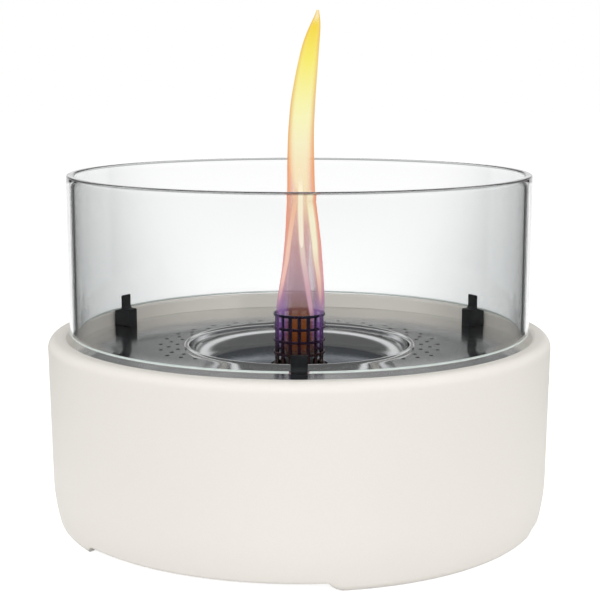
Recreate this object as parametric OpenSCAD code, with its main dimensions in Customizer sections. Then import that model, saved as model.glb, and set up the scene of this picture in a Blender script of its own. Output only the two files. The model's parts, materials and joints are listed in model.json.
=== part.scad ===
// Tabletop fire bowl: a moulded bowl, a pierced steel top plate with a pan,
// a refillable fuel can with a wick burner, and a glass wind guard on three clips.
// The origin is at the centre of the foot plane, +Z is up and -Y is the front.

/* [Bowl] */
// Outer diameter of the bowl at its shoulder
bowl_d = 250; // [200:1:320]
// Height from the table to the crest of the lip
bowl_h = 94.3; // [86:0.1:130]
// Radius of the outer rounding of the lip
lip_r = 7; // [4:0.5:9]
// Flat land on the crest of the lip
lip_flat = 0.5; // [0.2:0.1:3]
// Radius of the inner rounding of the lip
lip_inner_r = 1.5; // [0.5:0.5:3]
// How much the radius shrinks from the shoulder to the lower wall
wall_taper = 1; // [0.2:0.1:4]
// Height at which the lower wall starts to turn in
low_wall_z = 26; // [18:1:40]
// Radius of the long curve of the lower wall
low_curve_r = 90; // [60:1:120]
// Radius of the rounded corner at the foot
corner_r = 5; // [3:0.5:8]
// Width of the inside ledge that carries the top plate
ledge_w = 4.5; // [3:0.5:7]
// How much the inside wall tapers from the ledge to the floor
inside_taper = 3.5; // [1:0.5:8]
// Radius of the inside corner at the floor
inside_corner_r = 20; // [8:1:30]
// Thickness of the bowl's floor
floor_t = 8; // [5:0.5:12]

/* [Feet] */
// Number of feet
foot_n = 3; // [3:1:6]
// Height of the feet
foot_h = 5; // [3:0.5:8]
// How much deeper the hollow under the floor is than the gaps between the feet
foot_hollow = 1.5; // [0.5:0.5:3]
// Width of the foot ring, measured along the radius
foot_w = 16; // [10:1:30]
// Angle that each foot spans
foot_arc = 63; // [20:1:80]
// Angle of the first foot's middle, from the front towards the right
foot_turn = 36.5; // [0:0.5:119]
// How far the end of a foot slants in, from its root to the table
foot_slant = 4; // [1:0.5:8]

/* [Top plate] */
// Thickness of the top plate
plate_t = 1.2; // [0.8:0.1:2]
// Depth of the plate's upper face below the crest of the lip
plate_drop = 7.3; // [5:0.1:12]
// Clearance between the plate's edge and the lip
plate_gap = 0.5; // [0.3:0.1:1.5]
// Number of rings of air holes
air_rows = 3; // [1:1:4]
// Number of air holes in each ring
air_n = 30; // [12:1:48]
// Diameter of an air hole
air_d = 2.4; // [1.5:0.1:3.2]
// Distance between the rings of air holes
air_pitch = 4.2; // [3.5:0.1:6]
// Distance from the pan's bead to the first ring of air holes
air_edge = 3.3; // [2.4:0.1:8]

/* [Pan] */
// Inner radius of the pan at its mouth
pan_r = 55.2; // [45:0.1:66]
// Depth of the pan below the plate's upper face
pan_depth = 9.5; // [6:0.1:14]
// Radius of the pan's inner corner
pan_corner_r = 9; // [4:0.5:12]
// Thickness of the pan's sheet
pan_t = 0.8; // [0.5:0.1:1.5]
// Radius of the rolled bead on the pan's edge
bead_r = 1.5; // [1.2:0.1:2.5]
// Clearance of the pan in the plate
pan_gap = 0.1; // [0.05:0.05:0.4]
// Clearance between the pan's middle hole and the burner cage
pan_hole_gap = 1.2; // [0.6:0.1:2.5]

/* [Clips] */
// Width of a clip
clip_w = 7.4; // [5:0.1:12]
// Height at which a clip holds the glass above the plate
clip_h = 9; // [7:0.1:14]
// Distance from the plate's edge to the clip's outer face
clip_inset = 0.3; // [0.1:0.1:2]
// Length of the clip's block along the radius
clip_len = 10.4; // [10:0.1:16]
// Height of the tab above the clip's ledge
tab_h = 7.5; // [4:0.1:12]
// Thickness of the tab
tab_t = 1.25; // [1:0.05:2]
// Radius of the fillet behind the tab
tab_fillet_r = 1.6; // [0.5:0.1:2]
// Radius of the shank of a clip screw
screw_r = 1.45; // [1:0.05:1.6]
// Radius of the head of a clip screw
screw_head_r = 2.7; // [2.4:0.1:3]
// Height of the head of a clip screw
screw_head_h = 1.9; // [1.2:0.1:3]
// Depth to which a screw enters its clip
screw_bite = 6; // [3:0.1:6.5]
// Outer radius of the washer under a screw's head
washer_r = 3.3; // [2.8:0.1:3.6]
// Thickness of the washer
washer_t = 0.5; // [0.3:0.1:1]
// Clearance of a screw in its holes
screw_gap = 0.05; // [0.02:0.01:0.2]

/* [Glass] */
// Height of the glass cylinder
glass_h = 77.5; // [50:0.5:140]
// Wall thickness of the glass cylinder
glass_t = 3.6; // [3:0.1:4]
// Radius of the ground edges of the glass
glass_edge_r = 0.8; // [0.3:0.1:1.2]
// Distance from the clip's outer face to the glass
glass_inset = 1; // [0.2:0.1:2]
// Clearance between the glass and the clip's tab
glass_gap = 0.3; // [0.2:0.05:0.8]

/* [Fuel can] */
// Outer diameter of the can
can_d = 80; // [60:1:120]
// Thickness of the can's sheet
can_t = 0.8; // [0.5:0.1:1.2]
// Radius of the can's lower corner
can_corner_r = 4; // [2:0.5:8]
// Depth of the panel below the can's upper edge
can_panel_drop = 2.4; // [1.5:0.1:5]
// Clearance of the can's seam
seam_gap = 0.05; // [0.02:0.01:0.15]
// Outer diameter of the can's neck
neck_d = 32; // [28:0.5:40]
// Thickness of the neck
neck_t = 1; // [0.6:0.1:2]
// Height of the neck above its flange
neck_h = 9; // [8:0.5:14]
// Width of the neck's flange
neck_flange_w = 3; // [2:0.5:6]

/* [Burner] */
// Thickness of the gasket under the cap
gasket_t = 1.2; // [0.6:0.1:2]
// Thickness of the cap's top
cap_top_t = 1.5; // [1:0.1:3]
// Thickness of the cap's skirt
cap_wall = 2; // [1.6:0.1:4]
// Height of the cap's skirt below its top
cap_skirt_h = 7.5; // [5:0.1:7.6]
// Clearance of the cap on the neck
cap_gap = 0.3; // [0.1:0.05:0.6]
// Number of grip flutes round the cap
flute_n = 30; // [12:1:48]
// Radius of a grip flute
flute_r = 0.9; // [0.4:0.1:1.2]
// Clearance between the cap and the pan
cap_pan_gap = 2.5; // [1:0.1:6]
// Outer diameter of the burner cage
cage_d = 26; // [23:0.5:32]
// Thickness of the cage's rings and bars
cage_t = 0.8; // [0.5:0.1:1.2]
// Height of the cage's upper edge above the plate
cage_rise = 16.5; // [10:0.1:30]
// Number of upright bars round the cage
bar_n = 16; // [8:1:20]
// Width of an upright bar
bar_w = 1.8; // [1.2:0.1:2.2]
// Clearance between the bars and the rings round them
bar_gap = 0.05; // [0.02:0.01:0.15]
// Number of rings above the cage's foot
ring_n = 4; // [2:1:6]
// Height of a ring
ring_h = 1.4; // [0.8:0.1:2.5]
// Height of the plain ring at the foot of the cage
cage_foot = 3.4; // [2.5:0.1:6]
// Thickness of the collar round the foot of the cage
collar_t = 1; // [0.6:0.1:1.5]
// Height of the collar
collar_h = 2; // [1:0.1:2.3]
// Clearance between the cage and its collar
collar_gap = 0.05; // [0.02:0.01:0.15]
// Diameter of the wick
wick_d = 12; // [6:0.5:14]
// Thickness of the wick tube
tube_t = 0.8; // [0.5:0.1:1.2]
// Height of the wick tube above the cap
tube_rise = 15; // [8:0.5:22]
// Length of the wick tube below the cap's top
tube_drop = 8; // [5:0.5:20]
// Height of the wick above its tube
wick_rise = 2.5; // [1:0.5:5]
// Clearance of the wick above the can's floor
wick_clear = 1.5; // [0.5:0.5:5]
// Clearance of the wick in its tube
wick_gap = 0.1; // [0.05:0.05:0.3]
// Clearance of the wick tube in the cap
tube_gap = 0.05; // [0.02:0.01:0.15]
// Width of the flange of the wick tube
tube_flange_w = 2; // [1:0.1:3]

/* [Hidden] */
$fn = 120;
// Overshoot of a cutting shape past the face that it opens
cut = 1;
// Overlap of two curves that run into each other
blend = 0.02;
// One clip at the front and two behind
clip_n = 3;

// Bowl: outside wall, lip, ledge and floor
bowl_r = bowl_d / 2;
low_r = bowl_r - wall_taper;
lip_z = bowl_h - lip_r;
lip_in_r = bowl_r - lip_r - lip_flat - lip_inner_r;
plate_top = bowl_h - plate_drop;
ledge_z = plate_top - plate_t;
ledge_r = lip_in_r - ledge_w;
inside_low_r = ledge_r - inside_taper;
floor_z = foot_h + floor_t;

// Bowl: the wall runs on into the long curve, and the corner arc meets that curve and the table
wall_slope = wall_taper / (lip_z - low_wall_z);
curve_x = low_r - low_curve_r;
corner_dz = low_wall_z - corner_r;
corner_reach = low_curve_r - corner_r + blend;
corner_x = curve_x + sqrt(corner_reach ^ 2 - corner_dz ^ 2);
touch_z = low_wall_z - corner_dz * low_curve_r / corner_reach;

// Feet
foot_pitch = 360 / foot_n;
foot_inner_r = corner_x - foot_w;
gap_half = bowl_r * sin((foot_pitch - foot_arc) / 2);
// How far a slanted foot end moves over the overshoot below the table
foot_side = foot_slant * cut / foot_h;

// Top plate and pan
plate_r = lip_in_r - plate_gap;
pan_floor = plate_top - pan_depth;
pan_round = min(pan_corner_r, pan_depth);
plate_hole_r = pan_r + pan_t + pan_gap;
bead_out_r = pan_r + 2 * bead_r;
air_r = bead_out_r + air_edge;

// Clips and glass
clip_out_r = plate_r - clip_inset;
clip_in_r = clip_out_r - clip_len;
clip_top = plate_top + clip_h;
glass_out_r = clip_out_r - glass_inset;
glass_in_r = glass_out_r - glass_t;
tab_out_r = glass_in_r - glass_gap;
tab_in_r = tab_out_r - tab_t;
tab_top = clip_top + tab_h;
screw_at_r = ledge_r - washer_r - cut;
screw_hole_r = screw_r + screw_gap;
clip_step = 360 / clip_n;

// Burner, from the pan down to the neck
cage_r = cage_d / 2;
cage_top = plate_top + cage_rise;
cap_top = pan_floor - pan_t - cap_pan_gap;
cap_under = cap_top - cap_top_t;
neck_top = cap_under - gasket_t;
neck_r = neck_d / 2;
neck_bore_r = neck_r - neck_t;
cap_bore_r = neck_r + cap_gap;
cap_r = cap_bore_r + cap_wall;
ring_pitch = (cage_top - cap_top - cage_foot) / ring_n;
bar_out = sqrt((cage_r - cage_t - bar_gap) ^ 2 - (bar_w / 2) ^ 2);
pan_hole_r = cage_r + pan_hole_gap;
wick_r = wick_d / 2;
tube_bore_r = wick_r + wick_gap;
tube_r = tube_bore_r + tube_t;
tube_hole_r = tube_r + tube_gap;
tube_top = cap_top + tube_rise;

// Fuel can, from the neck down to the bowl's floor
can_r = can_d / 2;
panel_top = neck_top - neck_h - neck_t;
can_wall_top = panel_top + can_panel_drop;
seam_in_r = can_r - can_t - seam_gap;
seam_out_r = can_r + seam_gap;

// Rectangle with rounded corners, its lower left corner at the origin
module rounded_rect(w, h, r) {
    translate([r, 0]) square([w - 2 * r, h]);
    translate([0, r]) square([w, h - 2 * r]);
    for (x = [r, w - r], y = [r, h - r])
        translate([x, y]) circle(r);
}

// Ring of rectangular section between two radii and two heights
module ring(r_in, r_out, z_low, z_high) {
    translate([0, 0, z_low]) difference() {
        cylinder(r = r_out, h = z_high - z_low);
        translate([0, 0, -cut]) cylinder(r = r_in, h = z_high - z_low + 2 * cut);
    }
}

// Outer half section of the bowl: long wall, low curve, foot corner and lip
module bowl_outside() {
    wall_low = low_wall_z - cut;
    polygon([[0, wall_low], [low_r - wall_slope * cut, wall_low], [bowl_r, lip_z], [0, lip_z]]);
    intersection() {
        translate([curve_x, low_wall_z]) circle(low_curve_r, $fn = 720);
        translate([0, touch_z]) square([bowl_r, low_wall_z + cut - touch_z]);
    }
    translate([corner_x, corner_r]) circle(corner_r);
    square([corner_x, low_wall_z]);
    translate([bowl_r - lip_r, lip_z]) circle(lip_r);
    translate([0, low_wall_z]) square([bowl_r - lip_r, bowl_h - low_wall_z]);
}

// Half section of the hollow: tapered well, ledge for the plate and eased lip
module bowl_inside() {
    corner_z = floor_z + inside_corner_r;
    corner_in_x = inside_low_r - inside_corner_r;
    polygon([[0, corner_z], [inside_low_r, corner_z], [ledge_r, ledge_z + cut], [0, ledge_z + cut]]);
    translate([corner_in_x, corner_z]) circle(inside_corner_r);
    translate([0, floor_z]) square([corner_in_x, inside_corner_r]);
    translate([0, ledge_z]) square([lip_in_r, bowl_h - ledge_z + cut]);
    translate([lip_in_r, bowl_h - lip_inner_r]) difference() {
        translate([-cut, 0]) square([lip_inner_r + cut, lip_inner_r + cut]);
        translate([lip_inner_r, 0]) circle(lip_inner_r);
    }
}

// Gap between two feet, wider at the table than at its root, from the hollow outwards
module foot_gap() {
    translate([foot_inner_r / 2, 0, 0]) rotate([90, 0, 90]) linear_extrude(bowl_r)
        polygon([
            [-gap_half - foot_slant - foot_side, -cut], [gap_half + foot_slant + foot_side, -cut],
            [gap_half, foot_h], [-gap_half, foot_h]
        ]);
}

// Bowl with three feet cut from its foot ring
module bowl() {
    color("ivory") difference() {
        rotate_extrude() difference() {
            bowl_outside();
            bowl_inside();
        }
        translate([0, 0, -cut]) cylinder(r = foot_inner_r, h = foot_h + foot_hollow + cut);
        for (k = [0:foot_n - 1])
            rotate([0, 0, foot_turn - 90 + (k + 0.5) * foot_pitch]) foot_gap();
    }
}

// Drawn can with a rounded lower corner, open at the top
module can_body() {
    inner_round = can_corner_r - can_t;
    color("silver") translate([0, 0, floor_z]) rotate_extrude() {
        wall_h = can_wall_top - floor_z;
        translate([can_r - can_t, can_corner_r]) square([can_t, wall_h - can_corner_r]);
        square([can_r - can_corner_r, can_t]);
        translate([can_r - can_corner_r, can_corner_r]) difference() {
            circle(can_corner_r);
            circle(inner_round);
            translate([-2 * can_corner_r, -can_corner_r])
                square([2 * can_corner_r, 2 * can_corner_r]);
            translate([-can_corner_r, 0]) square(2 * can_corner_r);
        }
    }
}

// Can end: a sunk panel with the neck's hole, and a seam folded over the wall
module can_top() {
    color("silver") rotate_extrude() {
        seam_low = panel_top - can_t;
        translate([neck_bore_r, seam_low]) square([seam_in_r - neck_bore_r, can_t]);
        translate([seam_in_r - can_t, seam_low]) square([can_t, can_wall_top + can_t - seam_low]);
        translate([seam_in_r - can_t, can_wall_top])
            square([seam_out_r - seam_in_r + 2 * can_t, can_t]);
        translate([seam_out_r, seam_low]) square([can_t, can_wall_top + can_t - seam_low]);
    }
}

// Neck with a flange that is soldered to the can's panel
module can_neck() {
    color("gainsboro") rotate_extrude() {
        translate([neck_bore_r, panel_top]) square([neck_t, neck_top - panel_top]);
        translate([neck_bore_r, panel_top]) square([neck_t + neck_flange_w, neck_t]);
    }
}

// Sealing ring between the neck and the cap
module neck_gasket() {
    color("dimgray") ring(neck_bore_r, neck_r, neck_top, cap_under);
}

// Screw cap with grip flutes and a hole for the wick tube
module burner_cap() {
    color("silver") difference() {
        translate([0, 0, cap_under - cap_skirt_h]) cylinder(r = cap_r, h = cap_top - cap_under + cap_skirt_h);
        translate([0, 0, cap_under - cap_skirt_h - cut]) cylinder(r = cap_bore_r, h = cap_skirt_h + cut);
        cylinder(r = tube_hole_r, h = cap_top + cut);
        for (k = [0:flute_n - 1])
            rotate([0, 0, k * 360 / flute_n])
                translate([cap_r, 0, cap_under - cap_skirt_h - cut])
                    cylinder(r = flute_r, h = cap_skirt_h + cut, $fn = 24);
    }
}

// Tube that carries the wick, with a flange on the cap
module wick_tube() {
    color("gray") rotate_extrude() {
        translate([tube_bore_r, cap_top - tube_drop]) square([tube_t, tube_drop + tube_rise]);
        translate([tube_bore_r, cap_top]) square([tube_t + tube_flange_w, tube_t]);
    }
}

// Fibre wick from the can's floor to above its tube, with an eased top
module wick() {
    wick_low = floor_z + can_t + wick_clear;
    wick_top = tube_top + wick_rise;
    ease = min(wick_r / 2, wick_rise);
    color("linen") rotate_extrude() {
        translate([0, wick_low]) square([wick_r, wick_top - ease - wick_low]);
        translate([0, wick_low]) square([wick_r - ease, wick_top - wick_low]);
        translate([wick_r - ease, wick_top - ease]) circle(ease);
    }
}

// Collar on the cap that holds the foot of the cage
module cage_collar() {
    collar_in = cage_r + collar_gap;
    color("gray") ring(collar_in, collar_in + collar_t, cap_top, cap_top + collar_h);
}

// Rings of the burner cage: a plain one at the foot and equal ones above it
module cage_rings() {
    color("dimgray") {
        ring(cage_r - cage_t, cage_r, cap_top, cap_top + cage_foot);
        for (k = [1:ring_n])
            translate([0, 0, cap_top + cage_foot + k * ring_pitch])
                ring(cage_r - cage_t, cage_r, -ring_h, 0);
    }
}

// Upright bars of the burner cage, standing on the cap inside the rings
module cage_bars() {
    color("dimgray") for (k = [0:bar_n - 1])
        rotate([0, 0, k * 360 / bar_n])
            translate([bar_out - cage_t, -bar_w / 2, cap_top])
                cube([cage_t, bar_w, cage_top - cap_top]);
}

// Flat steel plate with the pan's opening, rings of air holes and the clip screws' holes
module top_plate() {
    color("lightgray") translate([0, 0, ledge_z]) linear_extrude(plate_t) difference() {
        circle(plate_r);
        circle(plate_hole_r);
        for (row = [0:air_rows - 1], k = [0:air_n - 1])
            rotate((k + row % 2 / 2) * 360 / air_n)
                translate([air_r + row * air_pitch, 0]) circle(d = air_d, $fn = 24);
        for (k = [0:clip_n - 1])
            rotate(k * clip_step - 90) translate([screw_at_r, 0]) circle(screw_hole_r, $fn = 32);
    }
}

// Drawn pan with a round corner, a middle hole and a rolled bead on the plate
module burner_pan() {
    round_x = pan_r - pan_round;
    round_z = pan_floor + pan_round;
    color("slategray") rotate_extrude() {
        intersection() {
            translate([pan_r + bead_r, plate_top]) circle(bead_r, $fn = 48);
            translate([pan_r, plate_top]) square(2 * bead_r);
        }
        translate([pan_r, round_z]) square([pan_t, plate_top + bead_r / 2 - round_z]);
        translate([round_x, round_z]) difference() {
            circle(pan_round + pan_t);
            circle(pan_round);
            translate([-2 * pan_r, -pan_r]) square([2 * pan_r, 2 * pan_r]);
            translate([-pan_r, 0]) square(2 * pan_r);
        }
        translate([pan_hole_r, pan_floor - pan_t]) square([round_x - pan_hole_r, pan_t]);
    }
}

// Side view of a clip: block, glass ledge, upright tab and the fillet behind it
module clip_section() {
    translate([clip_in_r, plate_top]) rounded_rect(clip_len, clip_h, tab_t / 2);
    translate([clip_in_r, plate_top]) square([clip_len, clip_h / 2]);
    translate([tab_out_r, clip_top - clip_h / 2]) square([clip_out_r - tab_out_r, clip_h / 2]);
    translate([tab_in_r, plate_top]) square([tab_t, tab_top - tab_t / 2 - plate_top]);
    translate([tab_in_r + tab_t / 2, tab_top - tab_t / 2]) circle(tab_t / 2, $fn = 32);
    translate([tab_in_r - tab_fillet_r, clip_top]) difference() {
        translate([0, -tab_t]) square([tab_fillet_r + tab_t / 2, tab_fillet_r + tab_t]);
        translate([0, tab_fillet_r]) circle(tab_fillet_r, $fn = 48);
    }
}

// One clip, turned from the +X side, with its outer face on the plate's round
module clip(turn) {
    color("black") rotate([0, 0, turn]) difference() {
        intersection() {
            rotate([90, 0, 0]) linear_extrude(clip_w, center = true) clip_section();
            cylinder(r = clip_out_r, h = tab_top + cut, $fn = 360);
        }
        translate([screw_at_r, 0, plate_top - cut])
            cylinder(r = screw_hole_r, h = screw_bite + 2 * cut, $fn = 32);
    }
}

module clip_front() { clip(-90); }

module clip_right() { clip(clip_step - 90); }

module clip_left() { clip(2 * clip_step - 90); }

// Pan-head screws from below the plate, one for each clip
module clip_screws() {
    head_top = ledge_z - washer_t;
    head_round = screw_head_h / 2;
    color("silver") for (k = [0:clip_n - 1])
        rotate([0, 0, k * clip_step - 90]) translate([screw_at_r, 0, 0]) rotate_extrude($fn = 48) {
            translate([0, head_top]) square([screw_r, plate_top + screw_bite - head_top]);
            translate([0, head_top - head_round]) square([screw_head_r, head_round]);
            translate([0, head_top - screw_head_h]) square([screw_head_r - head_round, screw_head_h]);
            translate([screw_head_r - head_round, head_top - head_round]) circle(head_round);
        }
}

// Washers under the heads of the clip screws
module clip_washers() {
    color("lightgray") for (k = [0:clip_n - 1])
        rotate([0, 0, k * clip_step - 90]) translate([screw_at_r, 0, 0])
            ring(screw_hole_r, washer_r, ledge_z - washer_t, ledge_z);
}

// Clear glass cylinder with ground edges, standing on the clips
module glass_cylinder() {
    color("lightblue", 0.35) rotate_extrude($fn = 240)
        translate([glass_in_r, clip_top]) rounded_rect(glass_t, glass_h, glass_edge_r);
}

bowl();
can_body();
can_top();
can_neck();
neck_gasket();
burner_cap();
wick_tube();
wick();
cage_collar();
cage_rings();
cage_bars();
top_plate();
burner_pan();
clip_front();
clip_right();
clip_left();
clip_screws();
clip_washers();
glass_cylinder();
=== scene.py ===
"""Looks of the tabletop fire bowl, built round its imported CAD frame.

Each sub-assembly is a class: build makes smooth numpy surfaces at the sizes of the frame, and dress gives
them procedural finishes. Lengths are in metres, +Z is up and -Y is the front.
"""
import json
import logging
import math
from dataclasses import dataclass, field
from enum import Enum

import bpy
import numpy as np
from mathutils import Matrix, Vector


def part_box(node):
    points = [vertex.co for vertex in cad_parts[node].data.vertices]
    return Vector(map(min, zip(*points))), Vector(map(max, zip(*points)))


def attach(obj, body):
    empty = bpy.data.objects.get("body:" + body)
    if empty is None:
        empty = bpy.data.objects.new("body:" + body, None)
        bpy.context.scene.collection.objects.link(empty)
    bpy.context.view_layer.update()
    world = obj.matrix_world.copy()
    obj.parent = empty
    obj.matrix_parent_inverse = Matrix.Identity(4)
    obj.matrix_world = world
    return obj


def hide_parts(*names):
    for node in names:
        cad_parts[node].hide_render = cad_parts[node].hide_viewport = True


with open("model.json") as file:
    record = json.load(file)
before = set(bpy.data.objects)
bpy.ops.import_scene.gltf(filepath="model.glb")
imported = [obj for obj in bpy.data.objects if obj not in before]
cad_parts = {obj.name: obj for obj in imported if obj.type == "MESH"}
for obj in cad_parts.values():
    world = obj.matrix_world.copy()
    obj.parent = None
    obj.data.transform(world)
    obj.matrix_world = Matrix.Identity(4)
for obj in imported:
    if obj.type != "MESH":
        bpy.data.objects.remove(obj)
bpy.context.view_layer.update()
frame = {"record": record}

log = logging.getLogger("fire_bowl")

MM = 0.001
TAU = 2.0 * math.pi
POLE = 2.0 * MM  # radius of the flat cap that closes a turned shell at the axis
SLOTS: dict[str, str] = {part["node"]: part["material_slot"] for part in frame["record"]["subparts"]}

Array = np.ndarray
Rgb = tuple[float, float, float]
SocketValue = bpy.types.NodeSocket | float | tuple[float, ...]


class Section(Enum):
    """How a section that is turned round Z ends."""

    LOOP = "closed loop clear of the axis"
    CAPPED = "open line with a flat cap at each end"


class ClipPlace(Enum):
    """Where a clip stands, as an angle in degrees from +X."""

    FRONT = -90.0
    RIGHT = 30.0
    LEFT = 150.0


@dataclass(frozen=True)
class Surface:
    """Points and faces of a mesh.

    Attributes:
        points: Positions, of shape (n, 3).
        quads: Corners of the four-sided faces, of shape (m, 4).
        caps: Corners of the flat faces with many sides.
    """

    points: Array
    quads: Array
    caps: tuple[Array, ...] = ()

    def welded(self) -> "Surface":
        """Joins points that lie within 0.1 micrometres of each other.

        Returns:
            The same surface with each position once.
        """
        keys = np.round(self.points * 1e7).astype(np.int64)
        _, first, place = np.unique(keys, axis=0, return_index=True, return_inverse=True)
        place = place.reshape(-1)
        return Surface(self.points[first], place[self.quads], tuple(place[cap] for cap in self.caps))


def joined(surfaces: list[Surface]) -> Surface:
    """Puts several surfaces into one.

    Args:
        surfaces: Surfaces to join, in order.

    Returns:
        One surface with all points, quads and caps.
    """
    starts = np.cumsum([0] + [len(s.points) for s in surfaces[:-1]])
    caps = tuple(cap + start for s, start in zip(surfaces, starts) for cap in s.caps)
    points = np.concatenate([s.points for s in surfaces])
    return Surface(points, np.concatenate([s.quads + start for s, start in zip(surfaces, starts)]), caps)


def weave(points: Array, wrap_rows: bool, wrap_cols: bool) -> Surface:
    """Makes quads between the neighbours of a grid of points.

    The corner order is (row, col), (row + 1, col), (row + 1, col + 1), (row, col + 1), so a face looks along
    the row direction crossed with the column direction.

    Args:
        points: Grid of shape (rows, cols, 3).
        wrap_rows: Whether the last row meets the first.
        wrap_cols: Whether the last column meets the first.

    Returns:
        The woven surface.
    """
    rows, cols = points.shape[:2]
    steps = np.arange(rows - (not wrap_rows)), np.arange(cols - (not wrap_cols))
    row, col = np.meshgrid(*steps, indexing="ij")
    next_row, next_col = (row + 1) % rows, (col + 1) % cols
    corners = [row * cols + col, next_row * cols + col, next_row * cols + next_col, row * cols + next_col]
    return Surface(points.reshape(-1, 3), np.stack(corners, axis=-1).reshape(-1, 4))


def arc(centre: tuple[float, float], radius: float, start: float, end: float, steps: int) -> Array:
    """Points on a circle arc in the plane of a section.

    Args:
        centre: Radius and height of the centre.
        radius: Radius of the arc.
        start: First angle in degrees, from the outward direction.
        end: Last angle in degrees.
        steps: Number of points.

    Returns:
        Points of shape (steps, 2).
    """
    angle = np.radians(np.linspace(start, end, steps))
    return np.stack([centre[0] + radius * np.cos(angle), centre[1] + radius * np.sin(angle)], axis=-1)


def rounded(corners: Array, radii: Array | float, steps: int = 6) -> Array:
    """Closed outline whose corners are circle arcs that touch both sides.

    An arc's centre lies on the bisector of its corner, radius / sin(half angle) away. Its points turn evenly
    from one touching point to the other.

    Args:
        corners: Corners of shape (n, 2), counter-clockwise.
        radii: Radius of every corner, or of each.
        steps: Number of points on each arc.

    Returns:
        Outline of shape (n * steps, 2).
    """
    radius = np.broadcast_to(np.asarray(radii, dtype=float), (len(corners),))[:, None]
    ahead, back = np.roll(corners, -1, axis=0) - corners, np.roll(corners, 1, axis=0) - corners
    ahead /= np.linalg.norm(ahead, axis=1, keepdims=True)
    back /= np.linalg.norm(back, axis=1, keepdims=True)
    half = 0.5 * np.arccos(np.clip((ahead * back).sum(axis=1, keepdims=True), -1.0, 1.0))
    bisector = (ahead + back) / np.linalg.norm(ahead + back, axis=1, keepdims=True)
    centre = corners + bisector * radius / np.sin(half)
    first = corners + back * radius / np.tan(half) - centre
    last = corners + ahead * radius / np.tan(half) - centre
    turn, share = np.pi - 2.0 * half, np.linspace(0.0, 1.0, steps)[None, :]
    weights = np.sin((1.0 - share) * turn) / np.sin(turn), np.sin(share * turn) / np.sin(turn)
    points = centre[:, None] + weights[0][..., None] * first[:, None] + weights[1][..., None] * last[:, None]
    return points.reshape(-1, 2)


def spin(section: Array, turns: int) -> Array:
    """Turns a section round Z: x = r cos t, y = r sin t, z = z, for t once round.

    Args:
        section: Radius and height of each point, of shape (n, 2).
        turns: Number of steps round the axis.

    Returns:
        Grid of points of shape (turns, n, 3).
    """
    angle = np.linspace(0.0, TAU, turns, endpoint=False)[:, None]
    radius, height = section[None, :, 0], np.broadcast_to(section[None, :, 1], (turns, len(section)))
    return np.stack([radius * np.cos(angle), radius * np.sin(angle), height], axis=-1)


def turned(section: Array, ends: Section = Section.LOOP, turns: int = 192) -> Surface:
    """Surface of revolution round Z.

    Args:
        section: Radius and height of each point, counter-clockwise.
        ends: Whether the section is a loop, or a line with flat caps.
        turns: Number of steps round the axis.

    Returns:
        The turned surface.
    """
    return close_ends(spin(section, turns), ends)


def close_ends(grid: Array, ends: Section) -> Surface:
    """Weaves a grid whose rows go round Z, and closes its ends.

    Args:
        grid: Points of shape (turns, n, 3).
        ends: Whether each row is a loop, or a line with flat caps.

    Returns:
        The closed surface.
    """
    woven = weave(grid, wrap_rows=True, wrap_cols=ends is Section.LOOP)
    if ends is Section.LOOP:
        return woven
    first = np.arange(grid.shape[0]) * grid.shape[1]
    return Surface(woven.points, woven.quads, (first[::-1], first + grid.shape[1] - 1))


def drawn(outline: Array, width: float, ease: float, steps: int = 5) -> Surface:
    """Bar of a given outline along Y, with eased ends.

    The bar is a stack of copies of the outline at heights y. Near an end, each copy shrinks along the
    outline's own normals by ease * (1 - sin a) while y comes within ease * (1 - cos a) of the end, a quarter
    circle in all.

    Args:
        outline: Outline in X and Z, of shape (n, 2), counter-clockwise.
        width: Length of the bar, centred on y = 0.
        ease: Radius of the easing.
        steps: Number of copies in each easing.

    Returns:
        The bar with flat caps.
    """
    along = np.roll(outline, -1, axis=0) - np.roll(outline, 1, axis=0)
    normal = np.stack([along[:, 1], -along[:, 0]], axis=-1)
    normal /= np.linalg.norm(normal, axis=1, keepdims=True)
    angle = np.linspace(0.0, np.pi / 2.0, steps)
    inset, level = ease * (1.0 - np.sin(angle)), ease * (1.0 - np.cos(angle)) - width / 2.0
    inset, level = np.concatenate([inset, inset[::-1]]), np.concatenate([level, -level[::-1]])
    flat = outline[None] - inset[:, None, None] * normal[None]
    y = np.broadcast_to(level[:, None], flat.shape[:2])
    woven = weave(np.stack([flat[..., 0], y, flat[..., 1]], axis=-1), wrap_rows=False, wrap_cols=True)
    count, last = len(outline), (len(inset) - 1) * len(outline)
    return Surface(woven.points, woven.quads, (np.arange(count), last + np.arange(count)[::-1]))


def swung(surface: Surface, degrees: float) -> Surface:
    """Turns a surface about Z.

    Args:
        surface: Surface to turn.
        degrees: Angle from +X towards +Y.

    Returns:
        The turned copy.
    """
    c, s = math.cos(math.radians(degrees)), math.sin(math.radians(degrees))
    turn = np.array([[c, s, 0.0], [-s, c, 0.0], [0.0, 0.0, 1.0]])
    return Surface(surface.points @ turn, surface.quads, surface.caps)


def mesh_object(name: str, surface: Surface, crease: float) -> bpy.types.Object:
    """Makes a smooth-shaded object at the origin.

    Args:
        name: Name of the object.
        surface: Its points and faces.
        crease: Angle in degrees above which an edge stays sharp.

    Returns:
        The linked object.
    """
    mesh = bpy.data.meshes.new(name)
    faces = surface.quads.tolist() + [cap.tolist() for cap in surface.caps]
    mesh.from_pydata(surface.points.tolist(), [], faces)
    mesh.polygons.foreach_set("use_smooth", np.ones(len(mesh.polygons), dtype=bool))
    mesh.set_sharp_from_angle(angle=math.radians(crease))
    mesh.update()
    obj = bpy.data.objects.new(name, mesh)
    bpy.context.scene.collection.objects.link(obj)
    return obj


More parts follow.
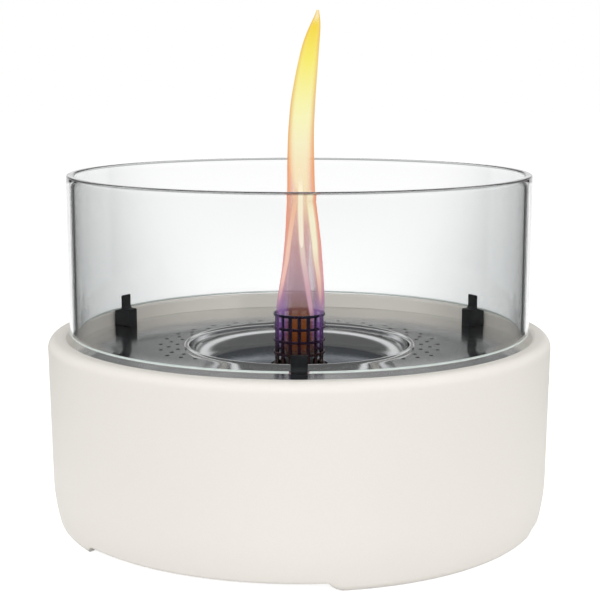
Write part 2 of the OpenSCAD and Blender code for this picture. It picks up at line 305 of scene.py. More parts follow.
class Net:
    """Adds nodes to a shader tree.

    Attributes:
        tree: The tree that the nodes go to.
    """

    def __init__(self, tree: bpy.types.NodeTree) -> None:
        """Takes the tree of a material, a world or a node group."""
        self.tree = tree

    def add(self, kind: str, values: dict[str | int, SocketValue] | None = None,
            **settings: object) -> bpy.types.Node:
        """Adds one node.

        Args:
            kind: Type name of the node.
            values: Value or incoming link of each input, by name or place.
            **settings: Properties of the node.

        Returns:
            The new node.
        """
        node = self.tree.nodes.new(kind)
        for key, setting in settings.items():
            setattr(node, key, setting)
        for key, value in (values or {}).items():
            self.feed(node.inputs[key], value)
        return node

    def feed(self, target: bpy.types.NodeSocket, value: SocketValue) -> None:
        """Links a socket to an input, or sets the input to a value.

        Args:
            target: The input.
            value: Incoming socket or plain value.
        """
        if isinstance(value, bpy.types.NodeSocket):
            self.tree.links.new(value, target)
        else:
            target.default_value = value

    def place(self) -> bpy.types.NodeOutputs:
        """Sockets of X, Y and Z of the place on the object."""
        place = self.add("ShaderNodeTexCoord").outputs["Object"]
        return self.add("ShaderNodeSeparateXYZ", {0: place}).outputs

    def from_axis(self, place: bpy.types.NodeOutputs) -> bpy.types.NodeSocket:
        """Distance of a place from the Z axis, sqrt(x^2 + y^2)."""
        squares = [self.math("MULTIPLY", place[k], place[k]) for k in range(2)]
        return self.math("SQRT", self.math("ADD", *squares))

    def math(self, operation: str, *values: SocketValue) -> bpy.types.NodeSocket:
        """Adds a math node with its inputs in order, and gives its result."""
        return self.add("ShaderNodeMath", dict(enumerate(values)), operation=operation).outputs[0]

    def blend(self, mask: SocketValue, low: SocketValue, high: SocketValue) -> bpy.types.NodeSocket:
        """Mixes two colours.

        Args:
            mask: Share of the second colour.
            low: First colour.
            high: Second colour.

        Returns:
            The mixed colour.
        """
        mix = self.add("ShaderNodeMix", {0: mask}, data_type="RGBA")
        for place, value in ((6, low), (7, high)):
            self.feed(mix.inputs[place], value if isinstance(value, bpy.types.NodeSocket) else (*value, 1.0))
        return mix.outputs[2]

    def spread(self, value: SocketValue, low: SocketValue, high: SocketValue, to_low: float = 0.0,
               to_high: float = 1.0) -> bpy.types.NodeSocket:
        """Maps a value from the range low to high to the range to_low to to_high, with soft ends."""
        values = {0: value, 1: low, 2: high, 3: to_low, 4: to_high}
        return self.add("ShaderNodeMapRange", values, interpolation_type="SMOOTHSTEP").outputs[0]

    def ramp(self, value: SocketValue, stops: tuple[tuple[float, Rgb], ...]) -> bpy.types.NodeSocket:
        """Adds a colour ramp.

        Args:
            value: Place on the ramp, from 0 to 1.
            stops: Place and colour of each stop.

        Returns:
            The colour.
        """
        node = self.add("ShaderNodeValToRGB", {0: value})
        elements = node.color_ramp.elements
        for _ in stops[2:]:
            elements.new(0.5)
        for element, (place, colour) in zip(elements, stops):
            element.position, element.color = place, (*colour, 1.0)
        return node.outputs[0]


def blank_material(name: str) -> tuple[bpy.types.Material, Net]:
    """Makes a material with no nodes.

    Args:
        name: Name of the material.

    Returns:
        The material and its net.
    """
    made = bpy.data.materials.new(name)
    made.use_nodes = True
    made.node_tree.nodes.clear()
    return made, Net(made.node_tree)


class Effects:
    """Shader node groups that several finishes share."""

    @staticmethod
    def open_group(name: str, takes: tuple[str, ...],
                   gives: tuple[str, ...]) -> tuple[Net, dict[str, bpy.types.NodeSocket], bpy.types.Node]:
        """Starts a node group.

        Args:
            name: Name of the group.
            takes: Names of its inputs, all plain values.
            gives: Names of its outputs; Normal is a vector and Colour a colour.

        Returns:
            The net, the input sockets by name and the output node.
        """
        tree = bpy.data.node_groups.new(name, "ShaderNodeTree")
        kinds = {"Normal": "NodeSocketVector", "Colour": "NodeSocketColor"}
        for socket in takes:
            tree.interface.new_socket(name=socket, in_out="INPUT", socket_type="NodeSocketFloat")
        for socket in gives:
            kind = kinds.get(socket, "NodeSocketFloat")
            tree.interface.new_socket(name=socket, in_out="OUTPUT", socket_type=kind)
        net = Net(tree)
        start, end = net.add("NodeGroupInput"), net.add("NodeGroupOutput")
        return net, {socket: start.outputs[socket] for socket in takes}, end

    @staticmethod
    def use(net: Net, name: str, **values: SocketValue) -> bpy.types.Node:
        """Adds a group to a material, and makes the group on its first use.

        Args:
            net: Net of the material.
            name: One of grain, turning, smudge, zone and heat.
            **values: Values of the group's inputs.

        Returns:
            The group's node.
        """
        if name not in bpy.data.node_groups:
            getattr(Effects, name)()
        return net.add("ShaderNodeGroup", values, node_tree=bpy.data.node_groups[name])

    @staticmethod
    def give_marks(net: Net, end: bpy.types.Node, noise: bpy.types.NodeSocket, height: bpy.types.NodeSocket,
                   distance: float) -> None:
        """Ends a group of marks: the noise as a mask and as a bumped normal.

        Args:
            net: Net of the group.
            end: Output node of the group.
            noise: The marks.
            height: Strength of the bump.
            distance: Depth of the bump.
        """
        bump = net.add("ShaderNodeBump", {"Height": noise, "Strength": height, "Distance": distance})
        net.feed(end.inputs["Mask"], noise)
        net.feed(end.inputs["Normal"], bump.outputs[0])

    @staticmethod
    def grain() -> None:
        """Makes the group of a fine even grain: three-dimensional noise as a mask and as a bumped normal."""
        net, given, end = Effects.open_group("grain", ("Scale", "Height"), ("Mask", "Normal"))
        place = net.add("ShaderNodeTexCoord").outputs["Object"]
        values = {"Vector": place, "Scale": given["Scale"], "Detail": 4.0, "Roughness": 0.6}
        noise = net.add("ShaderNodeTexNoise", values).outputs[0]
        Effects.give_marks(net, end, noise, given["Height"], 0.4 * MM)

    @staticmethod
    def turning() -> None:
        """Makes the group of lathe marks: noise along radius + height, so rings on flats and walls."""
        net, given, end = Effects.open_group("turning", ("Scale", "Height"), ("Mask", "Normal"))
        place = net.place()
        along = net.math("ADD", net.from_axis(place), place[2])
        values = {"W": along, "Scale": given["Scale"], "Detail": 3.0, "Roughness": 0.7}
        noise = net.add("ShaderNodeTexNoise", values, noise_dimensions="1D").outputs[0]
        Effects.give_marks(net, end, noise, given["Height"], 0.2 * MM)

    @staticmethod
    def smudge() -> None:
        """Makes the group of faint wide marks from handling: soft noise pushed to patches."""
        net, given, end = Effects.open_group("smudge", ("Scale",), ("Mask",))
        place = net.add("ShaderNodeTexCoord").outputs["Object"]
        values = {"Vector": place, "Scale": given["Scale"], "Detail": 3.0, "Distortion": 0.6}
        noise = net.add("ShaderNodeTexNoise", values).outputs[0]
        net.feed(end.inputs["Mask"], net.spread(noise, 0.42, 0.72))

    @staticmethod
    def zone() -> None:
        """Makes the group of a mask by radius round the axis, used for painted light: 0 inside the inner
        radius, 1 outside the outer one.
        """
        net, given, end = Effects.open_group("zone", ("Inner", "Outer"), ("Mask",))
        mask = net.spread(net.from_axis(net.place()), given["Inner"], given["Outer"])
        net.feed(end.inputs["Mask"], mask)

    @staticmethod
    def heat() -> None:
        """Makes the group of annealing colours: steel, straw, bronze, purple, blue, then dull grey."""
        net, given, end = Effects.open_group("heat", ("Heat",), ("Colour",))
        stops = ((0.0, (0.42, 0.43, 0.45)), (0.25, (0.36, 0.30, 0.20)), (0.45, (0.16, 0.08, 0.05)),
                 (0.62, (0.10, 0.045, 0.10)), (0.8, (0.05, 0.045, 0.10)), (1.0, (0.06, 0.06, 0.07)))
        net.feed(end.inputs["Colour"], net.ramp(given["Heat"], stops))


@dataclass(frozen=True)
class Finish:
    """A procedural finish.

    Attributes:
        name: Name of the material.
        colour: Main colour, linear.
        shade: Second colour that the marks mix in. Turned steel and smoked glass mix it in as painted light
            instead: by radius, and by slant and height.
        roughness: Roughness where there are no marks.
        metallic: 1 for metal and 0 for all else.
        scale: Size of the marks, as a noise scale per metre.
        height: Strength of the bump.
        gloss: Specular level, 0.5 for a plain surface.
        sheer: Grey of the specular tint, which a metal shows at a slant.
    """

    name: str
    colour: Rgb
    shade: Rgb
    roughness: float
    metallic: float = 0.0
    scale: float = 900.0
    height: float = 0.1
    gloss: float = 0.5
    sheer: float = 1.0

    def material(self) -> bpy.types.Material:
        """Makes the material, or returns it if it is there already.

        Returns:
            The material.
        """
        made = bpy.data.materials.get(f"{self.name}_finish")
        if made is not None:
            return made
        made, net = blank_material(f"{self.name}_finish")
        tint = (self.sheer, self.sheer, self.sheer, 1.0)
        values = {"Base Color": (*self.colour, 1.0), "Roughness": self.roughness, "Metallic": self.metallic,
                  "Specular IOR Level": self.gloss, "Specular Tint": tint}
        shader = net.add("ShaderNodeBsdfPrincipled", values)
        net.add("ShaderNodeOutputMaterial", {"Surface": shader.outputs[0]})
        self.wire(net, shader.inputs)
        made.diffuse_color = (*self.colour, 1.0)
        log.info("finish %s", self.name)
        return made

    def wire(self, net: Net, inputs: bpy.types.NodeInputs) -> None:
        """Links the marks of the finish to its shader: an even grain.

        Args:
            net: Net of the material.
            inputs: Inputs of the Principled shader.
        """
        grain = Effects.use(net, "grain", Scale=self.scale, Height=self.height).outputs
        net.feed(inputs["Base Color"], net.blend(grain["Mask"], self.colour, self.shade))
        net.feed(inputs["Normal"], grain["Normal"])


@dataclass(frozen=True)
class TurnedSteel(Finish):
    """Steel with lathe marks, faint smudges and a colour that changes by radius round the axis, painting
    shade into the pan's floor and a reflection onto the plate's outer margin.

    Attributes:
        inner: Radius inside which the second colour is whole.
        outer: Radius at which the main colour is reached.
        smudge_scale: Size of the smudges, as a noise scale per metre.
        smudge_rough: Roughness that a smudge adds.
    """

    inner: float = 0.0
    outer: float = 1.0 * MM
    smudge_scale: float = 38.0
    smudge_rough: float = 0.06

    def wire(self, net: Net, inputs: bpy.types.NodeInputs) -> None:
        """Links lathe marks and smudges to the roughness, and the painted light by radius to the colour.

        Args:
            net: Net of the material.
            inputs: Inputs of the Principled shader.
        """
        marks = Effects.use(net, "turning", Scale=self.scale, Height=self.height).outputs
        smudge = Effects.use(net, "smudge", Scale=self.smudge_scale).outputs["Mask"]
        # Painted light by radius: painted shade on the pan's floor, and a painted reflection, brighter and
        # greener, on the plate's outer margin.
        zone = Effects.use(net, "zone", Inner=self.inner, Outer=self.outer).outputs["Mask"]
        net.feed(inputs["Base Color"], net.blend(zone, self.shade, self.colour))
        marked = net.spread(marks["Mask"], 0.2, 0.8, self.roughness * 0.7, self.roughness * 1.3)
        smudged = net.math("MULTIPLY", smudge, self.smudge_rough)
        net.feed(inputs["Roughness"], net.math("ADD", marked, smudged))
        net.feed(inputs["Normal"], marks["Normal"])


@dataclass(frozen=True)
class HeatedSteel(Finish):
    """Steel that a flame has coloured, the more the higher it stands.

    Attributes:
        low: Height at which the tint starts.
        high: Height at which it is complete.
    """

    low: float = 0.0
    high: float = 0.1

    def wire(self, net: Net, inputs: bpy.types.NodeInputs) -> None:
        """Links annealing colours by height, broken up by noise.

        Args:
            net: Net of the material.
            inputs: Inputs of the Principled shader.
        """
        height = net.place()[2]
        grain = Effects.use(net, "grain", Scale=self.scale, Height=self.height).outputs
        heat = net.math("ADD", net.spread(height, self.low, self.high, 0.42, 0.8),
                        net.math("MULTIPLY", net.math("SUBTRACT", grain["Mask"], 0.5), 0.5))
        tint = Effects.use(net, "heat", Heat=heat).outputs["Colour"]
        rough = net.spread(grain["Mask"], 0.3, 0.7, self.roughness * 0.7, self.roughness * 1.3)
        net.feed(inputs["Base Color"], tint)
        net.feed(inputs["Roughness"], rough)
        net.feed(inputs["Normal"], grain["Normal"])


@dataclass(frozen=True)
class CharredFibre(Finish):
    """Plaited fibre that is burnt at its top.

    Attributes:
        low: Height at which the char starts.
        high: Height at which it is complete.
        char: Colour of the char.
    """

    low: float = 0.0
    high: float = 0.1
    char: Rgb = (0.012, 0.010, 0.009)

    def wire(self, net: Net, inputs: bpy.types.NodeInputs) -> None:
        """Links the fibre's grain and the char to the colour.

        Args:
            net: Net of the material.
            inputs: Inputs of the Principled shader.
        """
        height = net.place()[2]
        grain = Effects.use(net, "grain", Scale=self.scale, Height=self.height).outputs
        fibre = net.blend(grain["Mask"], self.colour, self.shade)
        char = net.spread(height, self.low, self.high)
        net.feed(inputs["Base Color"], net.blend(char, fibre, self.char))
        net.feed(inputs["Normal"], grain["Normal"])


@dataclass(frozen=True)
class SmokedGlass(Finish):
    """Smoked glass, darker towards its foot, with a painted dark line at its rim and painted shade where it
    slants, far darker than its longer way through the tint makes it.

    Attributes:
        low: Height of the foot.
        high: Height of the rim.
        foot: How much darker the foot is than the rim.
        steepest: Slant above which the painted shade grows no more.
        edge: Colour of the painted dark line at the rim.
    """

    low: float = 0.0
    high: float = 0.1
    foot: float = 0.22
    steepest: float = 0.47
    edge: Rgb = (0.28, 0.29, 0.29)

    def wire(self, net: Net, inputs: bpy.types.NodeInputs) -> None:
        """Sets the glass, links wiping marks to its roughness, and links to its colour painted shade by
        slant, a darkening towards the foot and a painted dark line at the rim.

        Args:
            net: Net of the material.
            inputs: Inputs of the Principled shader.
        """
        inputs["Transmission Weight"].default_value = 1.0
        inputs["IOR"].default_value = 1.45
        smudge = Effects.use(net, "smudge", Scale=self.scale).outputs["Mask"]
        net.feed(inputs["Roughness"], net.math("MULTIPLY", smudge, self.roughness))
        slant = net.add("ShaderNodeLayerWeight", {0: 0.5}).outputs["Facing"]
        height = net.place()[2]
        lower = net.spread(height, self.high, self.low, 0.0, self.foot)
        # Painted shade: the colour darkens with the slant, far more than the longer way through the tint, and
        # it darkens towards the foot.
        slant_shade_and_foot_darkening = net.math("ADD", net.math("MINIMUM", slant, self.steepest), lower)
        wall = net.blend(net.spread(slant_shade_and_foot_darkening, 0.14, 0.67), self.colour, self.shade)
        # Painted shade: a dark line painted into the colour along the rim.
        rim = net.spread(height, self.high - 1.5 * MM, self.high - 0.8 * MM)
        net.feed(inputs["Base Color"], net.blend(rim, wall, self.edge))


FINISHES: dict[str, Finish] = {finish.name: finish for finish in (
    Finish("cream_ceramic", (0.80, 0.765, 0.715), (0.845, 0.81, 0.76), 0.55, scale=1500.0, height=0.05),
    TurnedSteel("tinned_steel", (0.62, 0.63, 0.64), (0.55, 0.55, 0.56), 0.22, 1.0, 700.0, 0.05),
    Finish("gasket_rubber", (0.03, 0.03, 0.03), (0.05, 0.05, 0.05), 0.7),
    TurnedSteel("burner_steel", (0.45, 0.45, 0.46), (0.40, 0.40, 0.41), 0.3, 1.0, 1600.0, 0.1),
    CharredFibre("wick_fibre", (0.70, 0.65, 0.55), (0.52, 0.46, 0.36), 0.9, scale=2400.0, height=0.6,
                 low=0.080, high=0.0895),
    HeatedSteel("burnt_steel", (0.14, 0.10, 0.13), (0.1, 0.1, 0.1), 0.32, 1.0, 260.0, 0.1,
                low=0.072, high=0.104),
    # plate_steel: painted reflection, the brighter and greener main colour on the plate's outer margin beyond
    # 107 mm.
    TurnedSteel("plate_steel", (0.90, 0.93, 0.915), (0.80, 0.80, 0.802), 0.10, 1.0, 1400.0, 0.04,
                inner=0.107, outer=0.112),
    # pan_steel: painted shade, the dark blue second colour on the pan's floor inside 44.5 mm, where the
    # recess is in shade.
    TurnedSteel("pan_steel", (0.90, 0.905, 0.91), (0.24, 0.285, 0.345), 0.13, 1.0, 1100.0, 0.05,
                inner=0.0445, outer=0.0475),
    Finish("black_silicone", (0.009, 0.0100, 0.0115), (0.015, 0.0165, 0.0185), 0.45, scale=1800.0, gloss=0.2),
    TurnedSteel("screw_steel", (0.60, 0.60, 0.61), (0.60, 0.60, 0.61), 0.3, 1.0, 2500.0, 0.05),
    Finish("ground_glass", (0.80, 0.88, 0.85), (0.86, 0.92, 0.90), 0.5, scale=2500.0, height=0.2),
    # smoked_glass: its shade colour is painted shade at slants and a darkening towards the foot; its edge
    # colour paints a dark line at the rim.
    SmokedGlass("smoked_glass", (0.937, 0.941, 0.941), (0.685, 0.70, 0.70), 0.02, scale=14.0, sheer=0.3,
                low=0.096, high=0.1735),
)}


def round_size(node: str) -> tuple[float, float, float]:
    """Size of a CAD node that is round about Z.

    Args:
        node: Name of the node.

    Returns:
        Outer radius, lowest and highest height.
    """
    low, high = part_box(node)
    return (high[0] - low[0]) / 2.0, low[2], high[2]


@dataclass
class Assembly:
    """Pieces that ride one CAD body.

    Attributes:
        body: Name of the body.
        pieces: Objects by the CAD node that they stand for.
    """

    body: str
    pieces: dict[str, bpy.types.Object] = field(default_factory=dict)

    def add(self, node: str, surface: Surface, crease: float = 50.0) -> None:
        """Adds the piece that stands for a CAD node.

        Args:
            node: Name of the node.
            surface: Shape of the piece.
            crease: Angle in degrees above which an edge stays sharp.
        """
        obj = mesh_object(f"{node}_skin", surface, crease)
        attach(obj, self.body)
        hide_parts(node)
        self.pieces[node] = obj
        log.info("piece %s: %d points, %d faces", obj.name, len(surface.points), len(obj.data.polygons))

    def ring(self, node: str, bore: float, ease: float, turns: int = 128) -> None:
        """Adds a plain ring of the node's outer size, with a bore and eased edges."""
        radius, low, high = round_size(node)
        self.add(node, turned(rounded(box_corners(bore, radius, low, high), ease), turns=turns))

    def dress(self) -> None:
        """Gives each piece the finish of its slot."""
        for node, obj in self.pieces.items():
            obj.data.materials.append(FINISHES[SLOTS[node]].material())


def box_corners(inner: float, outer: float, low: float, high: float) -> Array:
    """Corners of a rectangular section, counter-clockwise.

    Args:
        inner: Smaller radius.
        outer: Larger radius.
        low: Lower height.
        high: Upper height.

    Returns:
        Corners of shape (4, 2).
    """
    return np.array([[inner, low], [outer, low], [outer, high], [inner, high]])


@dataclass
class Bowl(Assembly):
    """Cream bowl: rounded lip, ledge for the plate, hollow inside and three feet.

    Attributes:
        lip: Radius of the lip's outer rounding.
        lip_in: Radius of the lip's inner rounding.
        rim: Width of the lip from the outside to its inner edge.
        ledge: Depth of the ledge under the lip.
        ledge_edge: Radius of the ledge's two edges.
        shelf: How far the ledge reaches in from the lip's inner edge.
        wall_in: How far the wall's foot inside lies in from the lip's inner edge.
        floor: Height of the floor inside.
        bend: Radius of the bend from the wall to the floor.
        floor_at: Radius at which the flat floor starts.
        sole: Width of the foot ring.
        sole_edge: Radius of the foot ring's inner edge.
        ceiling: Height of the hollow's ceiling over the gaps.
        taper: How much the wall narrows downwards.
        low_wall: Height at which the lower wall turns in.
        curve: Radius of the lower wall's curve.
        corner: Radius of the foot's corner.
        foot: Height of the gaps between the feet.
        gap: Half the width of a gap at its root.
        slant: How far a foot's end slants in.
        gap_turns: Angles of the gaps' middles, in degrees from +X.
    """

    body: str = "bowl"
    lip: float = 5.0 * MM
    lip_in: float = 1.5 * MM
    rim: float = 7.5 * MM
    ledge: float = 8.5 * MM
    ledge_edge: float = 0.5 * MM
    shelf: float = 6.0 * MM
    wall_in: float = 9.5 * MM
    floor: float = 13.0 * MM
    bend: float = 20.0 * MM
    floor_at: float = 80.0 * MM
    sole: float = 16.0 * MM
    sole_edge: float = 0.6 * MM
    ceiling: float = 1.5 * MM
    taper: float = 1.0 * MM
    low_wall: float = 26.0 * MM
    curve: float = 90.0 * MM
    corner: float = 5.0 * MM
    foot: float = 5.0 * MM
    gap: float = 59.64 * MM
    slant: float = 4.0 * MM
    gap_turns: tuple[float, ...] = (6.5, 126.5, 246.5)

    def section(self) -> Array:
        """Half section from the hollow under the floor, round the wall and lip, to the floor inside.

        Returns:
            Radius and height of each point.
        """
        radius, _, top = round_size("bowl")
        middle = radius - self.taper - self.curve
        drop = self.low_wall - self.corner
        foot_at = middle + math.sqrt((self.curve - self.corner) ** 2 - drop ** 2)
        touch = -math.degrees(math.asin(drop / (self.curve - self.corner)))
        inner, ledge_z, hollow = radius - self.rim, top - self.ledge, foot_at - self.sole
        bend_z, ceiling = self.floor + self.bend, self.foot + self.ceiling
        edge, ledge_edge, foot_in = self.sole_edge, self.ledge_edge, inner - self.wall_in
        wall = np.linspace([radius - self.taper, self.low_wall], [radius, top - self.lip], 14)[1:-1]
        inside = np.linspace([inner - self.shelf, ledge_z - 0.6 * MM], [foot_in, bend_z], 10)
        return np.concatenate([
            np.linspace([POLE, ceiling], [hollow - 1.0 * MM, ceiling], 10),
            np.linspace([hollow, self.foot + 0.5 * MM], [hollow, edge], 5),
            arc((hollow + edge, edge), edge, 180.0, 270.0, 4),
            np.linspace([hollow + 2.0 * MM, 0.0], [foot_at - 1.0 * MM, 0.0], 6),
            arc((foot_at, self.corner), self.corner, -90.0, touch, 10),
            arc((middle, self.low_wall), self.curve, touch, 0.0, 16)[1:],
            wall,
            arc((radius - self.lip, top - self.lip), self.lip, 0.0, 90.0, 14),
            arc((inner, top - self.lip_in), self.lip_in, 90.0, 180.0, 7),
            arc((inner - self.lip_in - ledge_edge, ledge_z + ledge_edge), ledge_edge, 0.0, -90.0, 4),
            arc((inner - self.shelf + ledge_edge, ledge_z - ledge_edge), ledge_edge, 90.0, 176.0, 4),
            inside,
            arc((foot_in - self.bend, bend_z), self.bend, -2.0, -90.0, 12),
            np.linspace([self.floor_at, self.floor], [POLE, self.floor], 10),
        ])

    def build(self) -> None:
        """Turns the section round Z, and lifts the foot ring where there is a gap.

        In a gap, z becomes the larger of z and foot * share. The share falls from 1 to 0 across the slant,
        measured square to the gap's middle line.
        """
        grid = spin(self.section(), 480)
        angle = np.radians(np.array(self.gap_turns))[:, None, None]
        across = np.abs(grid[None, ..., 1] * np.cos(angle) - grid[None, ..., 0] * np.sin(angle))
        ahead = grid[None, ..., 0] * np.cos(angle) + grid[None, ..., 1] * np.sin(angle)
        share = np.clip((self.gap + self.slant - across) / self.slant, 0.0, 1.0) * (ahead > 0.0)
        grid[..., 2] = np.maximum(grid[..., 2], self.foot * share.max(axis=0))
        self.add("bowl", close_ends(grid, Section.CAPPED), crease=60.0)


@dataclass
class FuelCan(Assembly):
    """Tinned can with a folded seam, and a neck with a thread.

    Attributes:
        sheet: Thickness of the tin.
        slack: Clearance between the top and the wall that it plugs.
        bore: Radius of the neck's bore.
        brim: Width of the neck's flange.
        brim_sheet: Thickness of the flange.
        thread: Height of the thread.
        pitch: Pitch of the thread.
        plain: Plain lengths of the neck below and above the thread.
    """

    body: str = "can"
    sheet: float = 0.8 * MM
    slack: float = 0.05 * MM
    bore: float = 15.0 * MM
    brim: float = 3.0 * MM
    brim_sheet: float = 1.0 * MM
    thread: float = 0.28 * MM
    pitch: float = 3.0 * MM
    plain: tuple[float, float] = (1.8 * MM, 0.6 * MM)

    def build(self) -> None:
        """Turns the body, the top and the neck, and winds the thread on the neck."""
        radius, low, high = round_size("can_body")
        inner, floor = radius - self.sheet, low + self.sheet
        corners = np.array([[POLE, low], [radius, low], [radius, high], [inner, high], [inner, floor],
                            [POLE, floor]])
        radii = np.array([0.05, 4.0, 0.2, 0.2, 3.2, 0.05]) * MM
        line = rounded(corners, radii, 8)
        self.add("can_body", turned(line[7:-7], Section.CAPPED))
        self.build_top()
        self.build_neck()

    def build_top(self) -> None:
        """Turns the sunk panel and the seam that folds over the can's wall."""
        radius, low, high = round_size("can_top")
        fold, panel = radius - self.sheet, low + self.sheet
        in_wall = round_size("can_body")[0] - self.sheet - self.slack
        corners = np.array([
            [self.bore, low], [in_wall, low], [in_wall, high - self.sheet], [fold, high - self.sheet],
            [fold, low], [radius, low], [radius, high], [in_wall - self.sheet, high],
            [in_wall - self.sheet, panel], [self.bore, panel],
        ])
        radii = np.array([0.2, 0.3, 0.2, 0.2, 0.2, 0.3, 0.7, 0.6, 0.6, 0.2]) * MM
        self.add("can_top", turned(rounded(corners, radii, 5)))

    def build_neck(self) -> None:
        """Turns the neck, with a thread: the wall's radius grows by thread * cos(p) / 2.

        The phase p is TAU * height / pitch minus the angle round the axis, so the ridge climbs one pitch in
        each turn.
        """
        flange, low, high = round_size("can_neck")
        wall, brim = flange - self.brim, low + self.brim_sheet
        corners = np.array([[self.bore, low], [flange, low], [flange, brim], [wall, brim], [wall, high],
                            [self.bore, high]])
        line = rounded(corners, np.array([0.15, 0.3, 0.3, 0.4, 0.2, 0.2]) * MM, 5)
        rise = np.linspace([wall, low + 1.6 * MM], [wall, high - 0.4 * MM], 60)
        line = np.concatenate([line[:20], rise, line[20:]])
        grid = spin(line, 160)
        angle = np.linspace(0.0, TAU, 160, endpoint=False)[:, None]
        threaded = (line[:, 1] > low + self.plain[0]) & (line[:, 1] < high - self.plain[1])
        inside = threaded & (line[:, 0] > wall - 0.01 * MM)
        phase = TAU * line[None, :, 1] / self.pitch - angle
        swell = 1.0 + inside * self.thread * 0.5 * np.cos(phase) / line[None, :, 0]
        grid[..., :2] *= swell[..., None]
        self.add("can_neck", close_ends(grid, Section.LOOP))


@dataclass
class Burner(Assembly):
    """Wick burner: gasket, fluted cap, wick in its tube, collar and cage.

    Attributes:
        collar_bore: Radius of the collar's bore.
        cap_hole: Radius of the cap's hole for the tube.
        cap_top: Thickness of the cap's top.
        cap_wall: Thickness of the cap's skirt.
        flutes: Number of grip flutes on the cap.
        flute: Radius of a flute.
        tube_flange: Width of the tube's flange.
        tube_wall: Thickness of the tube and its flange.
        plait: Depth of the wick's plait.
        plait_pitch: Height of one turn of the plait.
        strands: Number of strands each way round.
        bars: Number of upright bars of the cage.
        bar: Width of a bar.
        sheet: Thickness of the cage's rings and bars.
        rings: Number of equal rings above the cage's foot.
        ring_height: Height of such a ring.
        cage_foot: Height of the plain ring at the foot.
        slack: Clearance between the bars and the rings.
    """

    body: str = "burner"
    collar_bore: float = 13.05 * MM
    cap_hole: float = 6.95 * MM
    cap_top: float = 1.5 * MM
    cap_wall: float = 2.0 * MM
    flutes: int = 30
    flute: float = 0.9 * MM
    tube_flange: float = 2.0 * MM
    tube_wall: float = 0.8 * MM
    plait: float = 0.15 * MM
    plait_pitch: float = 4.2 * MM
    strands: int = 8
    bars: int = 16
    bar: float = 1.8 * MM
    sheet: float = 0.8 * MM
    rings: int = 4
    ring_height: float = 1.4 * MM
    cage_foot: float = 3.4 * MM
    slack: float = 0.05 * MM

    def build(self) -> None:
        """Builds all pieces of the burner."""
        self.ring("neck_gasket", FuelCan.bore, 0.2 * MM)
        self.ring("cage_collar", self.collar_bore, 0.25 * MM)
        self.build_cap()
        self.build_tube()
        self.build_wick()
        self.build_cage()

    def build_cap(self) -> None:
        """Turns the cap, and presses flutes into its skirt.

        A flute is a circle on the skirt's outer radius R. At s along the skirt from its middle, the radius
        becomes R - sqrt(flute^2 - s^2).
        """
        radius, low, high = round_size("burner_cap")
        under, bore, hole = high - self.cap_top, radius - self.cap_wall, self.cap_hole
        corners = np.array([[hole, under], [bore, under], [bore, low], [radius, low], [radius, high],
                            [hole, high]])
        line = rounded(corners, np.array([0.15, 0.4, 0.3, 0.3, 0.5, 0.15]) * MM, 5)
        skirt = np.linspace([radius, low + 0.4 * MM], [radius, under + 0.9 * MM], 12)
        line = np.concatenate([line[:20], skirt, line[20:]])
        turns = self.flutes * 16
        grid = spin(line, turns)
        angle = np.linspace(0.0, TAU, turns, endpoint=False)
        step = TAU / self.flutes
        along = radius * ((angle + step / 2.0) % step - step / 2.0)
        press = np.sqrt(np.maximum(self.flute ** 2 - along ** 2, 0.0))
        fade = np.clip((under + 0.5 * MM - line[:, 1]) / (0.6 * MM), 0.0, 1.0)
        share = (line[:, 0] > bore + 0.5 * MM) * np.sqrt(fade)
        grid[..., :2] *= (1.0 - press[:, None] * share[None] / radius)[..., None]
        self.add("burner_cap", close_ends(grid, Section.LOOP))

    def build_tube(self) -> None:
        """Turns the wick tube with its flange on the cap."""
        radius, low, high = round_size("wick_tube")
        flange, outer = round_size("burner_cap")[2], radius - self.tube_flange
        rim, bore = flange + self.tube_wall, outer - self.tube_wall
        corners = np.array([[bore, low], [outer, low], [outer, flange], [radius, flange], [radius, rim],
                            [outer, rim], [outer, high], [bore, high]])
        radii = np.array([2, 2, 2, 2.5, 2.5, 4, 2.5, 2.5]) * 0.1 * MM
        self.add("wick_tube", turned(rounded(corners, radii, 5), turns=96))

    def build_wick(self) -> None:
        """Turns the wick, with a plait.

        The radius shrinks by plait * (1 - cos(n t + k z) cos(n t - k z)) / 2, for n strands, the angle t and
        the height z, where k is TAU / plait_pitch.
        """
        radius, low, high = round_size("wick")
        side = np.linspace([radius, low + 0.3 * MM], [radius, high - 2.6 * MM], 220)
        top = arc((radius - 2.5 * MM, high - 2.5 * MM), 2.5 * MM, 0.0, 90.0, 10)
        line = np.concatenate([[[0.4 * MM, low], [radius - 0.3 * MM, low]], side, top, [[0.4 * MM, high]]])
        grid = spin(line, 96)
        angle = np.linspace(0.0, TAU, 96, endpoint=False)[:, None]
        climb = TAU * line[None, :, 1] / self.plait_pitch
        wave = np.cos(self.strands * angle + climb) * np.cos(self.strands * angle - climb)
        grid[..., :2] *= (1.0 - self.plait * 0.5 * (1.0 - wave) / radius)[..., None]
        self.add("wick", close_ends(grid, Section.CAPPED))

    def build_cage(self) -> None:
        """Turns the cage's rings, and stands the bars inside them."""
        radius, low, high = round_size("cage_rings")
        inner, foot_top = radius - self.sheet, low + self.cage_foot
        tops = np.linspace(foot_top, high, self.rings + 1)[1:]
        spans = [(low, foot_top)] + [(top - self.ring_height, top) for top in tops]
        loops = [turned(rounded(box_corners(inner, radius, *span), 0.3 * MM, 5), turns=128) for span in spans]
        self.add("cage_rings", joined(loops))
        out = math.sqrt((inner - self.slack) ** 2 - (self.bar / 2.0) ** 2)
        outline = rounded(box_corners(out - self.sheet, out, low, high), 0.2 * MM, 4)
        bar = drawn(outline, self.bar, 0.2 * MM)
        self.add("cage_bars", joined([swung(bar, k * 360.0 / self.bars) for k in range(self.bars)]))


